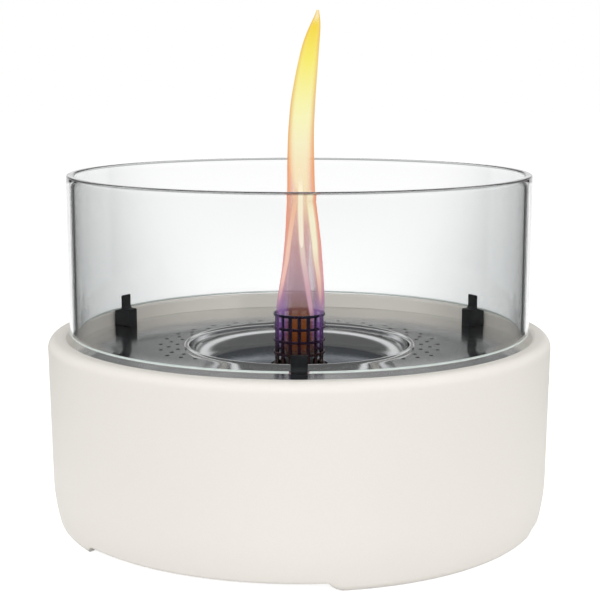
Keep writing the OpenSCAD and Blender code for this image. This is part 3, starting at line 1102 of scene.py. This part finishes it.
@dataclass
class TopPlate(Assembly):
    """Pierced steel plate with its pan, and the clips that carry the glass.

    Attributes:
        hole: Radius of the pan's opening.
        first: Radius of the first ring of air holes.
        pitch: Distance between the rings.
        count: Number of air holes in a ring.
        air: Radius of an air hole.
        air_ease: Width of the eased edge of an air hole.
        rows: Number of rings.
        ease: Radius of the plate's edges.
        pan_sheet: Thickness of the pan.
        pan_mouth: Inner radius of the pan's wall.
        pan_corner: Radius of the pan's inner corner.
        pan_hole: Radius of the hole for the burner.
        bead: Radius of the pan's rolled bead.
        clip_gap: Distance of a clip from the plate's edge.
        clip_width: Width of a clip.
        clip_depth: Length of a clip's block along the radius.
        clip_block: Height of the block over the plate.
        clip_top: Height of the tab over the plate.
        tab_out: Radius of the tab's outer face.
        tab: Thickness of the tab.
        screw_at: Radius at which the screws stand.
        shank: Radius of a screw's shank.
        head: Radius of a screw's head.
        washer: Thickness of a washer.
        washer_bore: Radius of a washer's hole.
        washer_rim: Outer radius of a washer.
    """

    body: str = "plate"
    hole: float = 56.1 * MM
    first: float = 61.5 * MM
    pitch: float = 4.2 * MM
    count: int = 30
    air: float = 1.2 * MM
    air_ease: float = 0.15 * MM
    rows: int = 3
    ease: float = 0.2 * MM
    pan_sheet: float = 0.8 * MM
    pan_mouth: float = 55.2 * MM
    pan_corner: float = 9.0 * MM
    pan_hole: float = 14.2 * MM
    bead: float = 1.5 * MM
    clip_gap: float = 0.3 * MM
    clip_width: float = 7.4 * MM
    clip_depth: float = 10.4 * MM
    clip_block: float = 9.0 * MM
    clip_top: float = 16.5 * MM
    tab_out: float = 110.3 * MM
    tab: float = 1.25 * MM
    screw_at: float = 107.2 * MM
    shank: float = 1.45 * MM
    head: float = 2.7 * MM
    washer: float = 0.5 * MM
    washer_bore: float = 1.5 * MM
    washer_rim: float = 3.3 * MM

    def build(self) -> None:
        """Builds the plate, the pan, the clips and their screws."""
        self.build_plate()
        self.build_pan()
        for place in ClipPlace:
            self.build_clip(place)
        self.build_screws()

    def cells(self, low: float, high: float) -> Surface:
        """Plate round the air holes, one polar cell for each hole.

        A cell runs half a pitch to each side of its hole along the radius and half a step along the angle.
        Eight points on each of its four sides are joined to 32 points on the hole's edge, through the hole's
        eased edges, from the upper face to the lower one. Every second ring is turned by half a step, so the
        points of neighbours meet.

        Args:
            low: Height of the lower face.
            high: Height of the upper face.

        Returns:
            The surface of all cells.
        """
        steps, lip = 8, self.air_ease
        points = 4 * steps
        side, one = 2.0 * np.arange(steps) / steps - 1.0, np.ones(steps)
        along_r, along_t = np.concatenate([one, -side, -one, side]), np.concatenate([side, one, -side, -one])
        square = np.stack([along_r, along_t], axis=-1)
        angle = np.radians(-45.0 + 360.0 / points * np.arange(points))
        round_edge = np.stack([np.cos(angle), np.sin(angle)], axis=-1)
        step = TAU / self.count
        which = np.meshgrid(np.arange(self.rows), np.arange(self.count), indexing="ij")
        row, place = (index.reshape(-1, 1, 1) for index in which)
        ring = self.first + row * self.pitch
        middle = (place + 0.5 * (row % 2)) * step
        reach = np.array([0.0, self.air + lip, self.air, self.air, self.air + lip, 0.0])[None, :, None]
        level = np.array([high, high, high - lip, low + lip, low, low])[None, :, None]
        turn = middle + np.zeros_like(reach) + np.zeros((1, 1, points))
        centre_x, centre_y = ring * np.cos(turn), ring * np.sin(turn)
        along, around = reach * round_edge[:, 0], reach * round_edge[:, 1]
        x = centre_x + along * np.cos(turn) - around * np.sin(turn)
        y = centre_y + along * np.sin(turn) + around * np.cos(turn)
        edge_r = ring + 0.5 * self.pitch * square[:, 0]
        edge_t = middle + 0.5 * step * square[:, 1]
        outer = reach == 0.0
        x, y = np.where(outer, edge_r * np.cos(edge_t), x), np.where(outer, edge_r * np.sin(edge_t), y)
        grid = np.stack([x, y, np.broadcast_to(level, x.shape)], axis=-1)
        one_cell = weave(grid[0], wrap_rows=False, wrap_cols=True).quads[:, ::-1]
        starts = (np.arange(len(grid)) * reach.size * points)[:, None, None]
        return Surface(grid.reshape(-1, 3), (one_cell[None] + starts).reshape(-1, 4))

    def build_plate(self) -> None:
        """Joins the cells to a plain band inside them and a plain band outside them."""
        radius, low, high = round_size("top_plate")
        inner, outer = self.first - 0.5 * self.pitch, self.first + (self.rows - 0.5) * self.pitch
        turns = 8 * self.count
        edges = rounded(box_corners(self.hole, radius, low, high), self.ease, 5)
        half_way = 0.5 * (outer + radius)
        under, over = [[outer, low], [half_way, low]], [[half_way, high], [outer, high]]
        out_line = np.concatenate([under, edges[5:15], over])
        in_line = np.concatenate([[[inner, high]], edges[15:], edges[:5], [[inner, low]]])
        bands = [weave(spin(line, turns), wrap_rows=True, wrap_cols=False) for line in (out_line, in_line)]
        self.add("top_plate", joined([self.cells(low, high)] + bands).welded(), crease=35.0)

    def build_pan(self) -> None:
        """Turns the drawn pan: floor with an eased hole, round corner, wall and a half-round bead."""
        _, low, high = round_size("burner_pan")
        sheet, mouth, top = self.pan_sheet, self.pan_mouth, high - self.bead
        floor_z, corner = low + sheet, self.pan_corner
        hole, bend = self.pan_hole, mouth - corner
        line = np.concatenate([
            arc((hole + 0.3 * MM, low + 0.3 * MM), 0.3 * MM, 180.0, 270.0, 4),
            np.linspace([hole + 2.0 * MM, low], [bend - 2.0 * MM, low], 12),
            arc((bend, floor_z + corner), corner + sheet, -90.0, 0.0, 20),
            [[mouth + sheet, top], [mouth + 2.6 * MM, top]],
            arc((mouth + self.bead, top), self.bead, 0.0, 180.0, 18),
            arc((bend, floor_z + corner), corner, 0.0, -90.0, 20),
            np.linspace([bend - 2.0 * MM, floor_z], [hole + 2.0 * MM, floor_z], 12),
            arc((hole + 0.3 * MM, floor_z - 0.3 * MM), 0.3 * MM, 90.0, 180.0, 4),
        ])
        self.add("burner_pan", turned(line, turns=256))

    def build_clip(self, place: ClipPlace) -> None:
        """Draws one clip: a block with an upright tab and a fillet behind it.

        Args:
            place: Where the clip stands.
        """
        radius, _, plate_top = round_size("top_plate")
        out, tab_in = radius - self.clip_gap, self.tab_out - self.tab
        back, ledge, top = out - self.clip_depth, plate_top + self.clip_block, plate_top + self.clip_top
        corners = np.array([[back, plate_top], [out, plate_top], [out, ledge], [self.tab_out, ledge],
                            [self.tab_out, top], [tab_in, top], [tab_in, ledge], [back, ledge]])
        radii = np.array([0.15, 0.15, 0.5, 0.3, 0.6, 0.6, 1.6, 0.7]) * MM
        bar = drawn(rounded(corners, radii, 7), self.clip_width, 0.45 * MM)
        self.add(f"clip_{place.name.lower()}", swung(bar, place.value))

    def build_screws(self) -> None:
        """Turns the pan-head screws and their washers, each set as one piece."""
        seat = round_size("top_plate")[1] - self.washer
        low, end = (corner[2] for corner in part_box("clip_screws"))
        shank, head, dome = self.shank, self.head, 0.95 * MM
        screw = turned(np.concatenate([
            [[0.9 * MM, low + 0.9 * MM], [1.1 * MM, low]],
            arc((head - dome, low + dome), dome, -90.0, 0.0, 7),
            [[head, seat], [shank, seat], [shank, end - 0.5 * MM], [shank - 0.5 * MM, end]],
        ]), Section.CAPPED, 48)
        disc = box_corners(self.washer_bore, self.washer_rim, seat, seat + self.washer)
        washer = turned(rounded(disc, 0.1 * MM, 4), turns=48)
        for node, shape in (("clip_screws", screw), ("clip_washers", washer)):
            moved = Surface(shape.points + np.array([self.screw_at, 0.0, 0.0]), shape.quads, shape.caps)
            self.add(node, joined([swung(moved, place.value) for place in ClipPlace]), crease=35.0)


@dataclass
class GlassGuard(Assembly):
    """Glass cylinder with round edges. It stands on a ground foot.

    Attributes:
        wall: Thickness of the glass.
        edge: Radius of the edges.
        ground: Height of the ground foot.
    """

    body: str = "glass"
    wall: float = 3.6 * MM
    edge: float = 0.8 * MM
    ground: float = 1.5 * MM

    def dress(self) -> None:
        """Gives the glass its finish, and a ground one to its foot, but not where that stands on a clip.

        The lamps' light passes the wall, so it casts no shadow.
        """
        super().dress()
        glass = self.pieces["glass_cylinder"]
        glass.visible_shadow = False
        mesh = glass.data
        mesh.materials.append(FINISHES["ground_glass"].material())
        middles = np.empty(3 * len(mesh.polygons))
        mesh.polygons.foreach_get("center", middles)
        x, y, z = middles.reshape(-1, 3).T
        places = np.radians([place.value for place in ClipPlace])[:, None]
        beside = np.abs(x * np.sin(places) - y * np.cos(places))
        away = x * np.cos(places) + y * np.sin(places) < 0.0
        free = (beside + away).min(axis=0) > TopPlate.clip_width / 2.0
        foot = free & (z < round_size("glass_cylinder")[1] + self.ground)
        mesh.polygons.foreach_set("material_index", foot.astype(np.int32))
        mesh.update()

    def build(self) -> None:
        """Turns the glass from a rectangle with round corners."""
        radius, low, high = round_size("glass_cylinder")
        line = rounded(box_corners(radius - self.wall, radius, low, high), self.edge, 8)
        wall = np.linspace(line[15], line[16], 26)[1:-1]
        back = np.linspace(line[31], line[0], 26)[1:-1]
        self.add("glass_cylinder", turned(np.concatenate([line[:16], wall, line[16:], back]), turns=320))


@dataclass(frozen=True)
class Tongue:
    """One tongue of the flame.

    Attributes:
        name: Name of the tongue.
        knots: Height, left edge and right edge at each knot, in millimetres from the foot up.
        colours: Colour of the middle at even steps up the tongue.
        edges: Colour of the two sides at even steps up the tongue.
        cover: How much the middle and the sides hide what is behind them.
        depth: Place of the tongue along Y, in millimetres.
        flat: Depth of the tongue as a share of its width.
        fade: Shares of the height over which the foot and the tip fade.
    """

    name: str
    knots: tuple[tuple[float, float, float], ...]
    colours: tuple[Rgb, ...]
    edges: tuple[Rgb, ...]
    cover: tuple[float, float]
    depth: float = 0.0
    flat: float = 0.8
    fade: tuple[float, float] = (0.2, 0.25)

    def surface(self, rows: int = 120, cols: int = 48) -> tuple[Surface, Array, Array]:
        """Sweeps an ellipse up the tongue: x = middle(v) + half(v) cos u, y = depth + flat * half(v) sin u.

        The middle and the half width come from smoothed lines through the knots.

        Args:
            rows: Number of steps up the tongue.
            cols: Number of steps round it.

        Returns:
            The surface, and for each point its share of the height and its place across.
        """
        heights, lefts, rights = np.array(self.knots).T
        share = np.linspace(0.0, 1.0, rows)
        z = heights[0] + (heights[-1] - heights[0]) * share
        reach = 6
        kernel = np.hanning(2 * reach + 1) / np.hanning(2 * reach + 1).sum()
        edges = [np.interp(z, heights, side) for side in (lefts, rights)]
        left, right = (np.convolve(np.pad(side, reach, mode="edge"), kernel, mode="valid") for side in edges)
        turn = np.linspace(0.0, TAU, cols, endpoint=False)[None, :]
        middle, half = 0.5 * (left + right)[:, None], np.maximum(0.5 * (right - left), 0.02)[:, None]
        x, y = middle + half * np.cos(turn), self.depth + self.flat * half * np.sin(turn)
        grid = np.stack([x, y, np.broadcast_to(z[:, None], x.shape)], axis=-1) * MM
        woven = weave(grid, wrap_rows=False, wrap_cols=True)
        across = np.broadcast_to(np.abs(np.cos(turn)), x.shape).reshape(-1)
        return Surface(woven.points, woven.quads[:, ::-1]), np.repeat(share, cols), across

    def material(self) -> bpy.types.Material:
        """Makes a glowing gas: colour and cover by height and by the place across the tongue.

        Returns:
            The material.
        """
        made, net = blank_material(self.name)
        height = net.add("ShaderNodeAttribute", attribute_name="share").outputs["Fac"]
        across = net.add("ShaderNodeAttribute", attribute_name="across").outputs["Fac"]
        ramps = [net.ramp(height, tuple((k / (len(line) - 1), colour) for k, colour in enumerate(line)))
                 for line in (self.colours, self.edges)]
        colour = net.blend(net.spread(across, 0.55, 1.0), *ramps)
        foot, tip = net.spread(height, 0.0, self.fade[0]), net.spread(height, 1.0, 1.0 - self.fade[1])
        ends = net.math("MULTIPLY", foot, tip)
        cover = net.math("MULTIPLY", net.spread(across, 0.35, 0.97, *self.cover), ends)
        glow = net.add("ShaderNodeEmission", {"Color": colour, "Strength": 1.0}).outputs[0]
        clear = net.add("ShaderNodeBsdfTransparent").outputs[0]
        mixed = net.add("ShaderNodeMixShader", {0: cover, 1: clear, 2: glow})
        net.add("ShaderNodeOutputMaterial", {"Surface": mixed.outputs[0]})
        return made


VIOLET: tuple[Rgb, ...] = ((0.08, 0.04, 0.12), (0.18, 0.08, 0.28), (0.30, 0.17, 0.42), (0.44, 0.30, 0.50))


@dataclass
class Flame:
    """Flame over the burner. It rides the burner, but is no piece of the object.

    Attributes:
        tongues: The tongues, from the outer one in.
    """

    tongues: tuple[Tongue, ...] = (
        Tongue("flame_outer",
               ((98.0, -11.0, 12.0), (104.0, -11.8, 12.8), (112.0, -10.8, 12.7), (124.0, -8.8, 12.0),
                (140.0, -7.2, 10.8), (149.0, -6.7, 9.6), (164.0, -6.0, 7.8), (178.0, -6.0, 7.4),
                (193.0, -5.6, 7.2), (208.0, -4.3, 7.8), (222.0, -1.8, 8.8), (236.0, 1.4, 9.8),
                (245.0, 5.0, 10.5), (249.5, 7.4, 10.2), (252.5, 9.1, 9.3)),
               ((0.16, 0.09, 0.13), (0.40, 0.22, 0.27), (0.62, 0.33, 0.30), (0.90, 0.52, 0.34),
                (0.94, 0.88, 0.50), (0.94, 0.86, 0.24), (0.92, 0.64, 0.03)),
               ((0.24, 0.13, 0.36), (0.75, 0.36, 0.38), (0.86, 0.34, 0.22), (0.84, 0.35, 0.14),
                (0.82, 0.50, 0.20), (0.88, 0.62, 0.16), (0.86, 0.48, 0.02)),
               (0.34, 0.80), fade=(0.1, 0.002)),
        Tongue("flame_core",
               ((146.0, -0.2, 4.4), (154.0, -0.9, 5.2), (166.0, -2.6, 5.4), (174.0, -4.6, 5.2),
                (186.0, -5.2, 5.4), (200.0, -4.5, 6.2), (215.0, -2.6, 7.2), (230.0, 0.4, 8.6),
                (240.0, 3.4, 9.4), (250.0, 8.0, 9.6)),
               ((1.0, 0.92, 0.64), (0.97, 0.93, 0.60), (0.94, 0.95, 0.64), (0.95, 0.92, 0.42),
                (0.95, 0.84, 0.14), (0.93, 0.66, 0.04)),
               ((0.98, 0.80, 0.48), (0.97, 0.82, 0.48), (0.94, 0.90, 0.52), (0.94, 0.87, 0.32),
                (0.94, 0.78, 0.09), (0.92, 0.60, 0.03)),
               (0.90, 0.45), fade=(0.1, 0.06)),
        Tongue("flame_inner",
               ((100.0, -6.0, 7.0), (112.0, -6.0, 6.0), (124.0, -5.0, 4.6), (140.0, -4.0, 5.2),
                (157.0, -3.6, 5.6), (170.0, -2.4, 4.6)),
               ((0.20, 0.11, 0.13), (0.36, 0.21, 0.25), (0.52, 0.26, 0.26), (0.80, 0.46, 0.34),
                (0.92, 0.62, 0.40)),
               ((0.25, 0.13, 0.20), (0.45, 0.25, 0.32), (0.62, 0.32, 0.32), (0.84, 0.48, 0.34),
                (0.92, 0.60, 0.38)),
               (0.50, 0.30)),
        Tongue("flame_left",
               ((104.0, -11.6, -9.8), (110.0, -11.2, -9.0), (120.0, -9.5, -6.9), (130.0, -7.6, -4.8),
                (140.0, -6.4, -3.6), (150.0, -5.2, -2.0), (160.0, -3.6, -0.2), (170.0, -2.0, 1.2)),
               ((0.52, 0.30, 0.40), (0.92, 0.56, 0.50), (0.97, 0.64, 0.50), (0.93, 0.56, 0.38),
                (0.92, 0.62, 0.40)),
               ((0.50, 0.28, 0.36), (0.84, 0.44, 0.38), (0.90, 0.48, 0.34), (0.88, 0.44, 0.26),
                (0.88, 0.50, 0.28)),
               (0.92, 0.20), -5.0),
        Tongue("flame_middle",
               ((98.0, 5.2, 8.4), (106.0, 4.2, 7.4), (113.0, 3.0, 6.4), (122.0, 1.6, 5.2), (130.0, 0.3, 3.8),
                (140.0, -0.7, 2.8), (152.0, -1.2, 2.4), (166.0, -1.2, 2.4), (176.0, -0.8, 1.6)),
               ((0.55, 0.32, 0.46), (0.86, 0.54, 0.60), (1.0, 0.88, 0.74), (1.0, 0.92, 0.70),
                (1.0, 0.95, 0.66)),
               ((0.45, 0.26, 0.42), (0.78, 0.44, 0.48), (0.96, 0.66, 0.52), (0.98, 0.80, 0.54),
                (0.98, 0.86, 0.55)),
               (0.95, 0.10), -6.0, fade=(0.15, 0.2)),
        Tongue("flame_right",
               ((104.0, 9.2, 11.6), (112.0, 8.8, 11.6), (121.0, 7.8, 11.4), (130.0, 6.2, 10.2),
                (140.0, 5.4, 9.6), (150.0, 4.2, 8.6), (160.0, 3.0, 7.2), (168.0, 2.4, 5.6)),
               ((0.55, 0.32, 0.32), (0.88, 0.58, 0.48), (1.0, 0.93, 0.68), (1.0, 0.96, 0.70),
                (0.98, 0.82, 0.50)),
               ((0.52, 0.28, 0.30), (0.86, 0.48, 0.36), (0.95, 0.68, 0.42), (0.94, 0.66, 0.38),
                (0.93, 0.56, 0.28)),
               (0.92, 0.20), -5.0, fade=(0.15, 0.2)),
        Tongue("flame_foot_left",
               ((84.0, -11.5, -6.0), (100.0, -12.0, -5.5), (110.0, -11.0, -5.0), (122.0, -8.5, -5.5)),
               VIOLET, VIOLET, (0.45, 0.15), -6.0, fade=(0.3, 0.5)),
        Tongue("flame_foot_right",
               ((84.0, 6.0, 11.8), (100.0, 5.6, 12.2), (110.0, 6.4, 11.8), (120.0, 8.0, 11.0)),
               VIOLET, VIOLET, (0.45, 0.15), -6.0, fade=(0.3, 0.5)),
        Tongue("flame_ember",
               ((80.0, -8.0, 8.0), (90.0, -8.4, 8.6), (102.0, -7.0, 7.6), (118.0, -4.6, 5.4)),
               ((0.03, 0.008, 0.004), (0.13, 0.035, 0.008), (0.17, 0.055, 0.016), (0.26, 0.13, 0.09)),
               ((0.03, 0.01, 0.008), (0.10, 0.03, 0.02), (0.14, 0.05, 0.04), (0.26, 0.14, 0.14)),
               (0.88, 0.40), -3.0, fade=(0.2, 0.6)),
    )

    def build(self) -> None:
        """Builds each tongue and rides it on the burner."""
        for tongue in self.tongues:
            surface, share, across = tongue.surface()
            obj = mesh_object(tongue.name, surface, 180.0)
            for name, values in (("share", share), ("across", across)):
                layer = obj.data.attributes.new(name, "FLOAT", "POINT")
                layer.data.foreach_set("value", values.astype(np.float32))
            obj.data.materials.append(tongue.material())
            obj.visible_glossy = False
            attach(obj, "burner")
            log.info("flame tongue %s: %d points", tongue.name, len(surface.points))


@dataclass(frozen=True)
class Softbox:
    """A square area light that looks at a point.

    Attributes:
        name: Name of the light.
        place: Where it hangs.
        side: Length of its sides.
        power: Power in watts.
    """

    name: str
    place: tuple[float, float, float]
    side: float
    power: float


@dataclass
class Studio:
    """White floor, soft light and the camera of the photograph.

    Attributes:
        room: Brightness of the room by a ray's rise: white horizon, grey wall, lit cove and dark ceiling.
        lift: How much the floor glows for the camera, so that it shows white.
        floor_grey: Grey of the floor.
        half: Half the width of the floor.
        flag: Distance of the dark cards at the sides.
        flag_reach: Where the side cards start and end along Y.
        flag_top: Height of the cards.
        flag_grey: Grey of the cards.
        aim: Height that the lights look at.
        lights: The area lights.
        eye: Place of the camera.
        tilt: How many degrees the camera looks down.
        lens: Focal length of the camera, in millimetres.
        film: Width of the camera's sensor, in millimetres.
    """

    room: tuple[tuple[float, float], ...] = (
        (0.0, 1.0), (0.10, 1.0), (0.165, 0.36), (0.192, 0.34), (0.216, 0.23), (0.25, 0.22), (0.32, 0.85),
        (0.46, 0.85), (0.56, 0.12),
    )
    lift: float = 0.86
    floor_grey: float = 0.65
    half: float = 6.0
    flag: float = 0.3
    flag_reach: tuple[float, float] = (-0.5, 0.32)
    flag_top: float = 0.16
    flag_grey: float = 0.14
    aim: float = 0.08
    lights: tuple[Softbox, ...] = (
        Softbox("key", (-1.5, -1.0, 0.5), 1.0, 11.3),
        Softbox("fill", (1.5, -1.0, 0.5), 1.0, 11.3),
        Softbox("front", (0.0, -1.7, 1.2), 1.0, 8.0),
        Softbox("top", (0.0, -0.05, 0.8), 0.6, 2.8),
    )
    eye: tuple[float, float, float] = (0.00035, -0.71707, 0.22663)
    tilt: float = 9.286
    lens: float = 86.79
    film: float = 36.0

    def build(self) -> None:
        """Builds the floor, the world, the lights and the camera."""
        self.build_floor()
        self.build_flags()
        self.build_world()
        for light in self.lights:
            self.build_light(light)
        self.build_camera()
        bpy.context.scene.view_settings.view_transform = "Standard"
        log.info("studio built")

    @staticmethod
    def matte(net: Net, grey: float) -> bpy.types.NodeSocket:
        """Adds a matte grey shader."""
        return net.add("ShaderNodeBsdfDiffuse", {"Color": (grey, grey, grey, 1.0)}).outputs[0]

    @staticmethod
    def seen(net: Net) -> bpy.types.NodeSocket:
        """Whether a ray shows the background: from the camera, off metal or through glass.

        Args:
            net: Net of the material or world.

        Returns:
            1 if it does, and 0 if not.
        """
        path = net.add("ShaderNodeLightPath").outputs
        either = net.math("MAXIMUM", path["Is Glossy Ray"], path["Is Transmission Ray"])
        return net.math("MAXIMUM", path["Is Camera Ray"], either)

    def build_floor(self) -> None:
        """Makes a wide white floor that keeps the shadow."""
        corners = self.half * np.array([[-1, -1, 0], [1, -1, 0], [1, 1, 0], [-1, 1, 0]])
        floor = mesh_object("floor", Surface(corners, np.array([[0, 1, 2, 3]])), 30.0)
        made, net = blank_material("white_floor")
        matte = self.matte(net, self.floor_grey)
        strength = net.math("MULTIPLY", self.seen(net), self.lift)
        glow = net.add("ShaderNodeEmission", {"Strength": strength}).outputs[0]
        both = net.add("ShaderNodeAddShader", {0: matte, 1: glow}).outputs[0]
        net.add("ShaderNodeOutputMaterial", {"Surface": both})
        floor.data.materials.append(made)

    def build_flags(self) -> None:
        """Stands dark cards at the sides and in front, which draw the glass's edges.

        A card shows in paths that hold a reflection, and is clear to all others.
        """
        made, net = blank_material("black_card")
        matte = self.matte(net, self.flag_grey)
        clear = net.add("ShaderNodeBsdfTransparent").outputs[0]
        turned_back = net.math("GREATER_THAN", net.add("ShaderNodeLightPath").outputs["Glossy Depth"], 0.5)
        mixed = net.add("ShaderNodeMixShader", {0: turned_back, 1: clear, 2: matte})
        net.add("ShaderNodeOutputMaterial", {"Surface": mixed.outputs[0]})
        side, (ahead, behind), top = self.flag, self.flag_reach, self.flag_top
        spans = {
            "flag_left": ((-side, ahead), (-side, behind)),
            "flag_right": ((side, behind), (side, ahead)),
            "flag_front": ((side, ahead), (-side, ahead)),
        }
        for name, (start, end) in spans.items():
            corners = np.array([[*start, 0.0], [*end, 0.0], [*end, top], [*start, top]])
            card = mesh_object(name, Surface(corners, np.array([[0, 1, 2, 3]])), 30.0)
            card.data.materials.append(made)
            card.visible_camera = card.visible_diffuse = card.visible_shadow = False

    def build_world(self) -> None:
        """Makes a studio round the bowl, in level bands of grey."""
        world = bpy.data.worlds.new("studio")
        world.use_nodes = True
        net = Net(world.node_tree)
        net.tree.nodes.clear()
        ray = net.add("ShaderNodeTexCoord").outputs["Generated"]
        rise = net.add("ShaderNodeSeparateXYZ", {0: ray}).outputs[2]
        level = net.ramp(rise, tuple((at, (grey, grey, grey)) for at, grey in self.room))
        sky = net.add("ShaderNodeBackground", {"Color": level, "Strength": 1.0}).outputs[0]
        net.add("ShaderNodeOutputWorld", {"Surface": sky})
        bpy.context.scene.world = world

    def build_light(self, softbox: Softbox) -> None:
        """Hangs an area light and turns it to the bowl.

        Args:
            softbox: The light.
        """
        light = bpy.data.lights.new(softbox.name, "AREA")
        light.size, light.energy = softbox.side, softbox.power
        obj = bpy.data.objects.new(softbox.name, light)
        bpy.context.scene.collection.objects.link(obj)
        x, y, z = softbox.place
        obj.location = softbox.place
        obj.rotation_euler = (math.atan2(math.hypot(x, y), z - self.aim), 0.0, math.atan2(x, -y))
        obj.visible_glossy = obj.visible_transmission = False

    def build_camera(self) -> None:
        """Sets the camera that was fitted to the photograph, about 23 degrees wide."""
        camera = bpy.data.cameras.new("camera")
        camera.lens, camera.sensor_width = self.lens, self.film
        obj = bpy.data.objects.new("camera", camera)
        bpy.context.scene.collection.objects.link(obj)
        obj.location = self.eye
        obj.rotation_euler = (math.radians(90.0 - self.tilt), 0.0, 0.0)
        bpy.context.scene.camera = obj


def main() -> None:
    """Builds and dresses every sub-assembly, then the flame and the studio."""
    logging.basicConfig(level=logging.INFO, format="%(name)s: %(message)s")
    for assembly in (Bowl(), FuelCan(), Burner(), TopPlate(), GlassGuard()):
        assembly.build()
        assembly.dress()
    Flame().build()
    Studio().build()


if __name__ == "__main__":
    main()
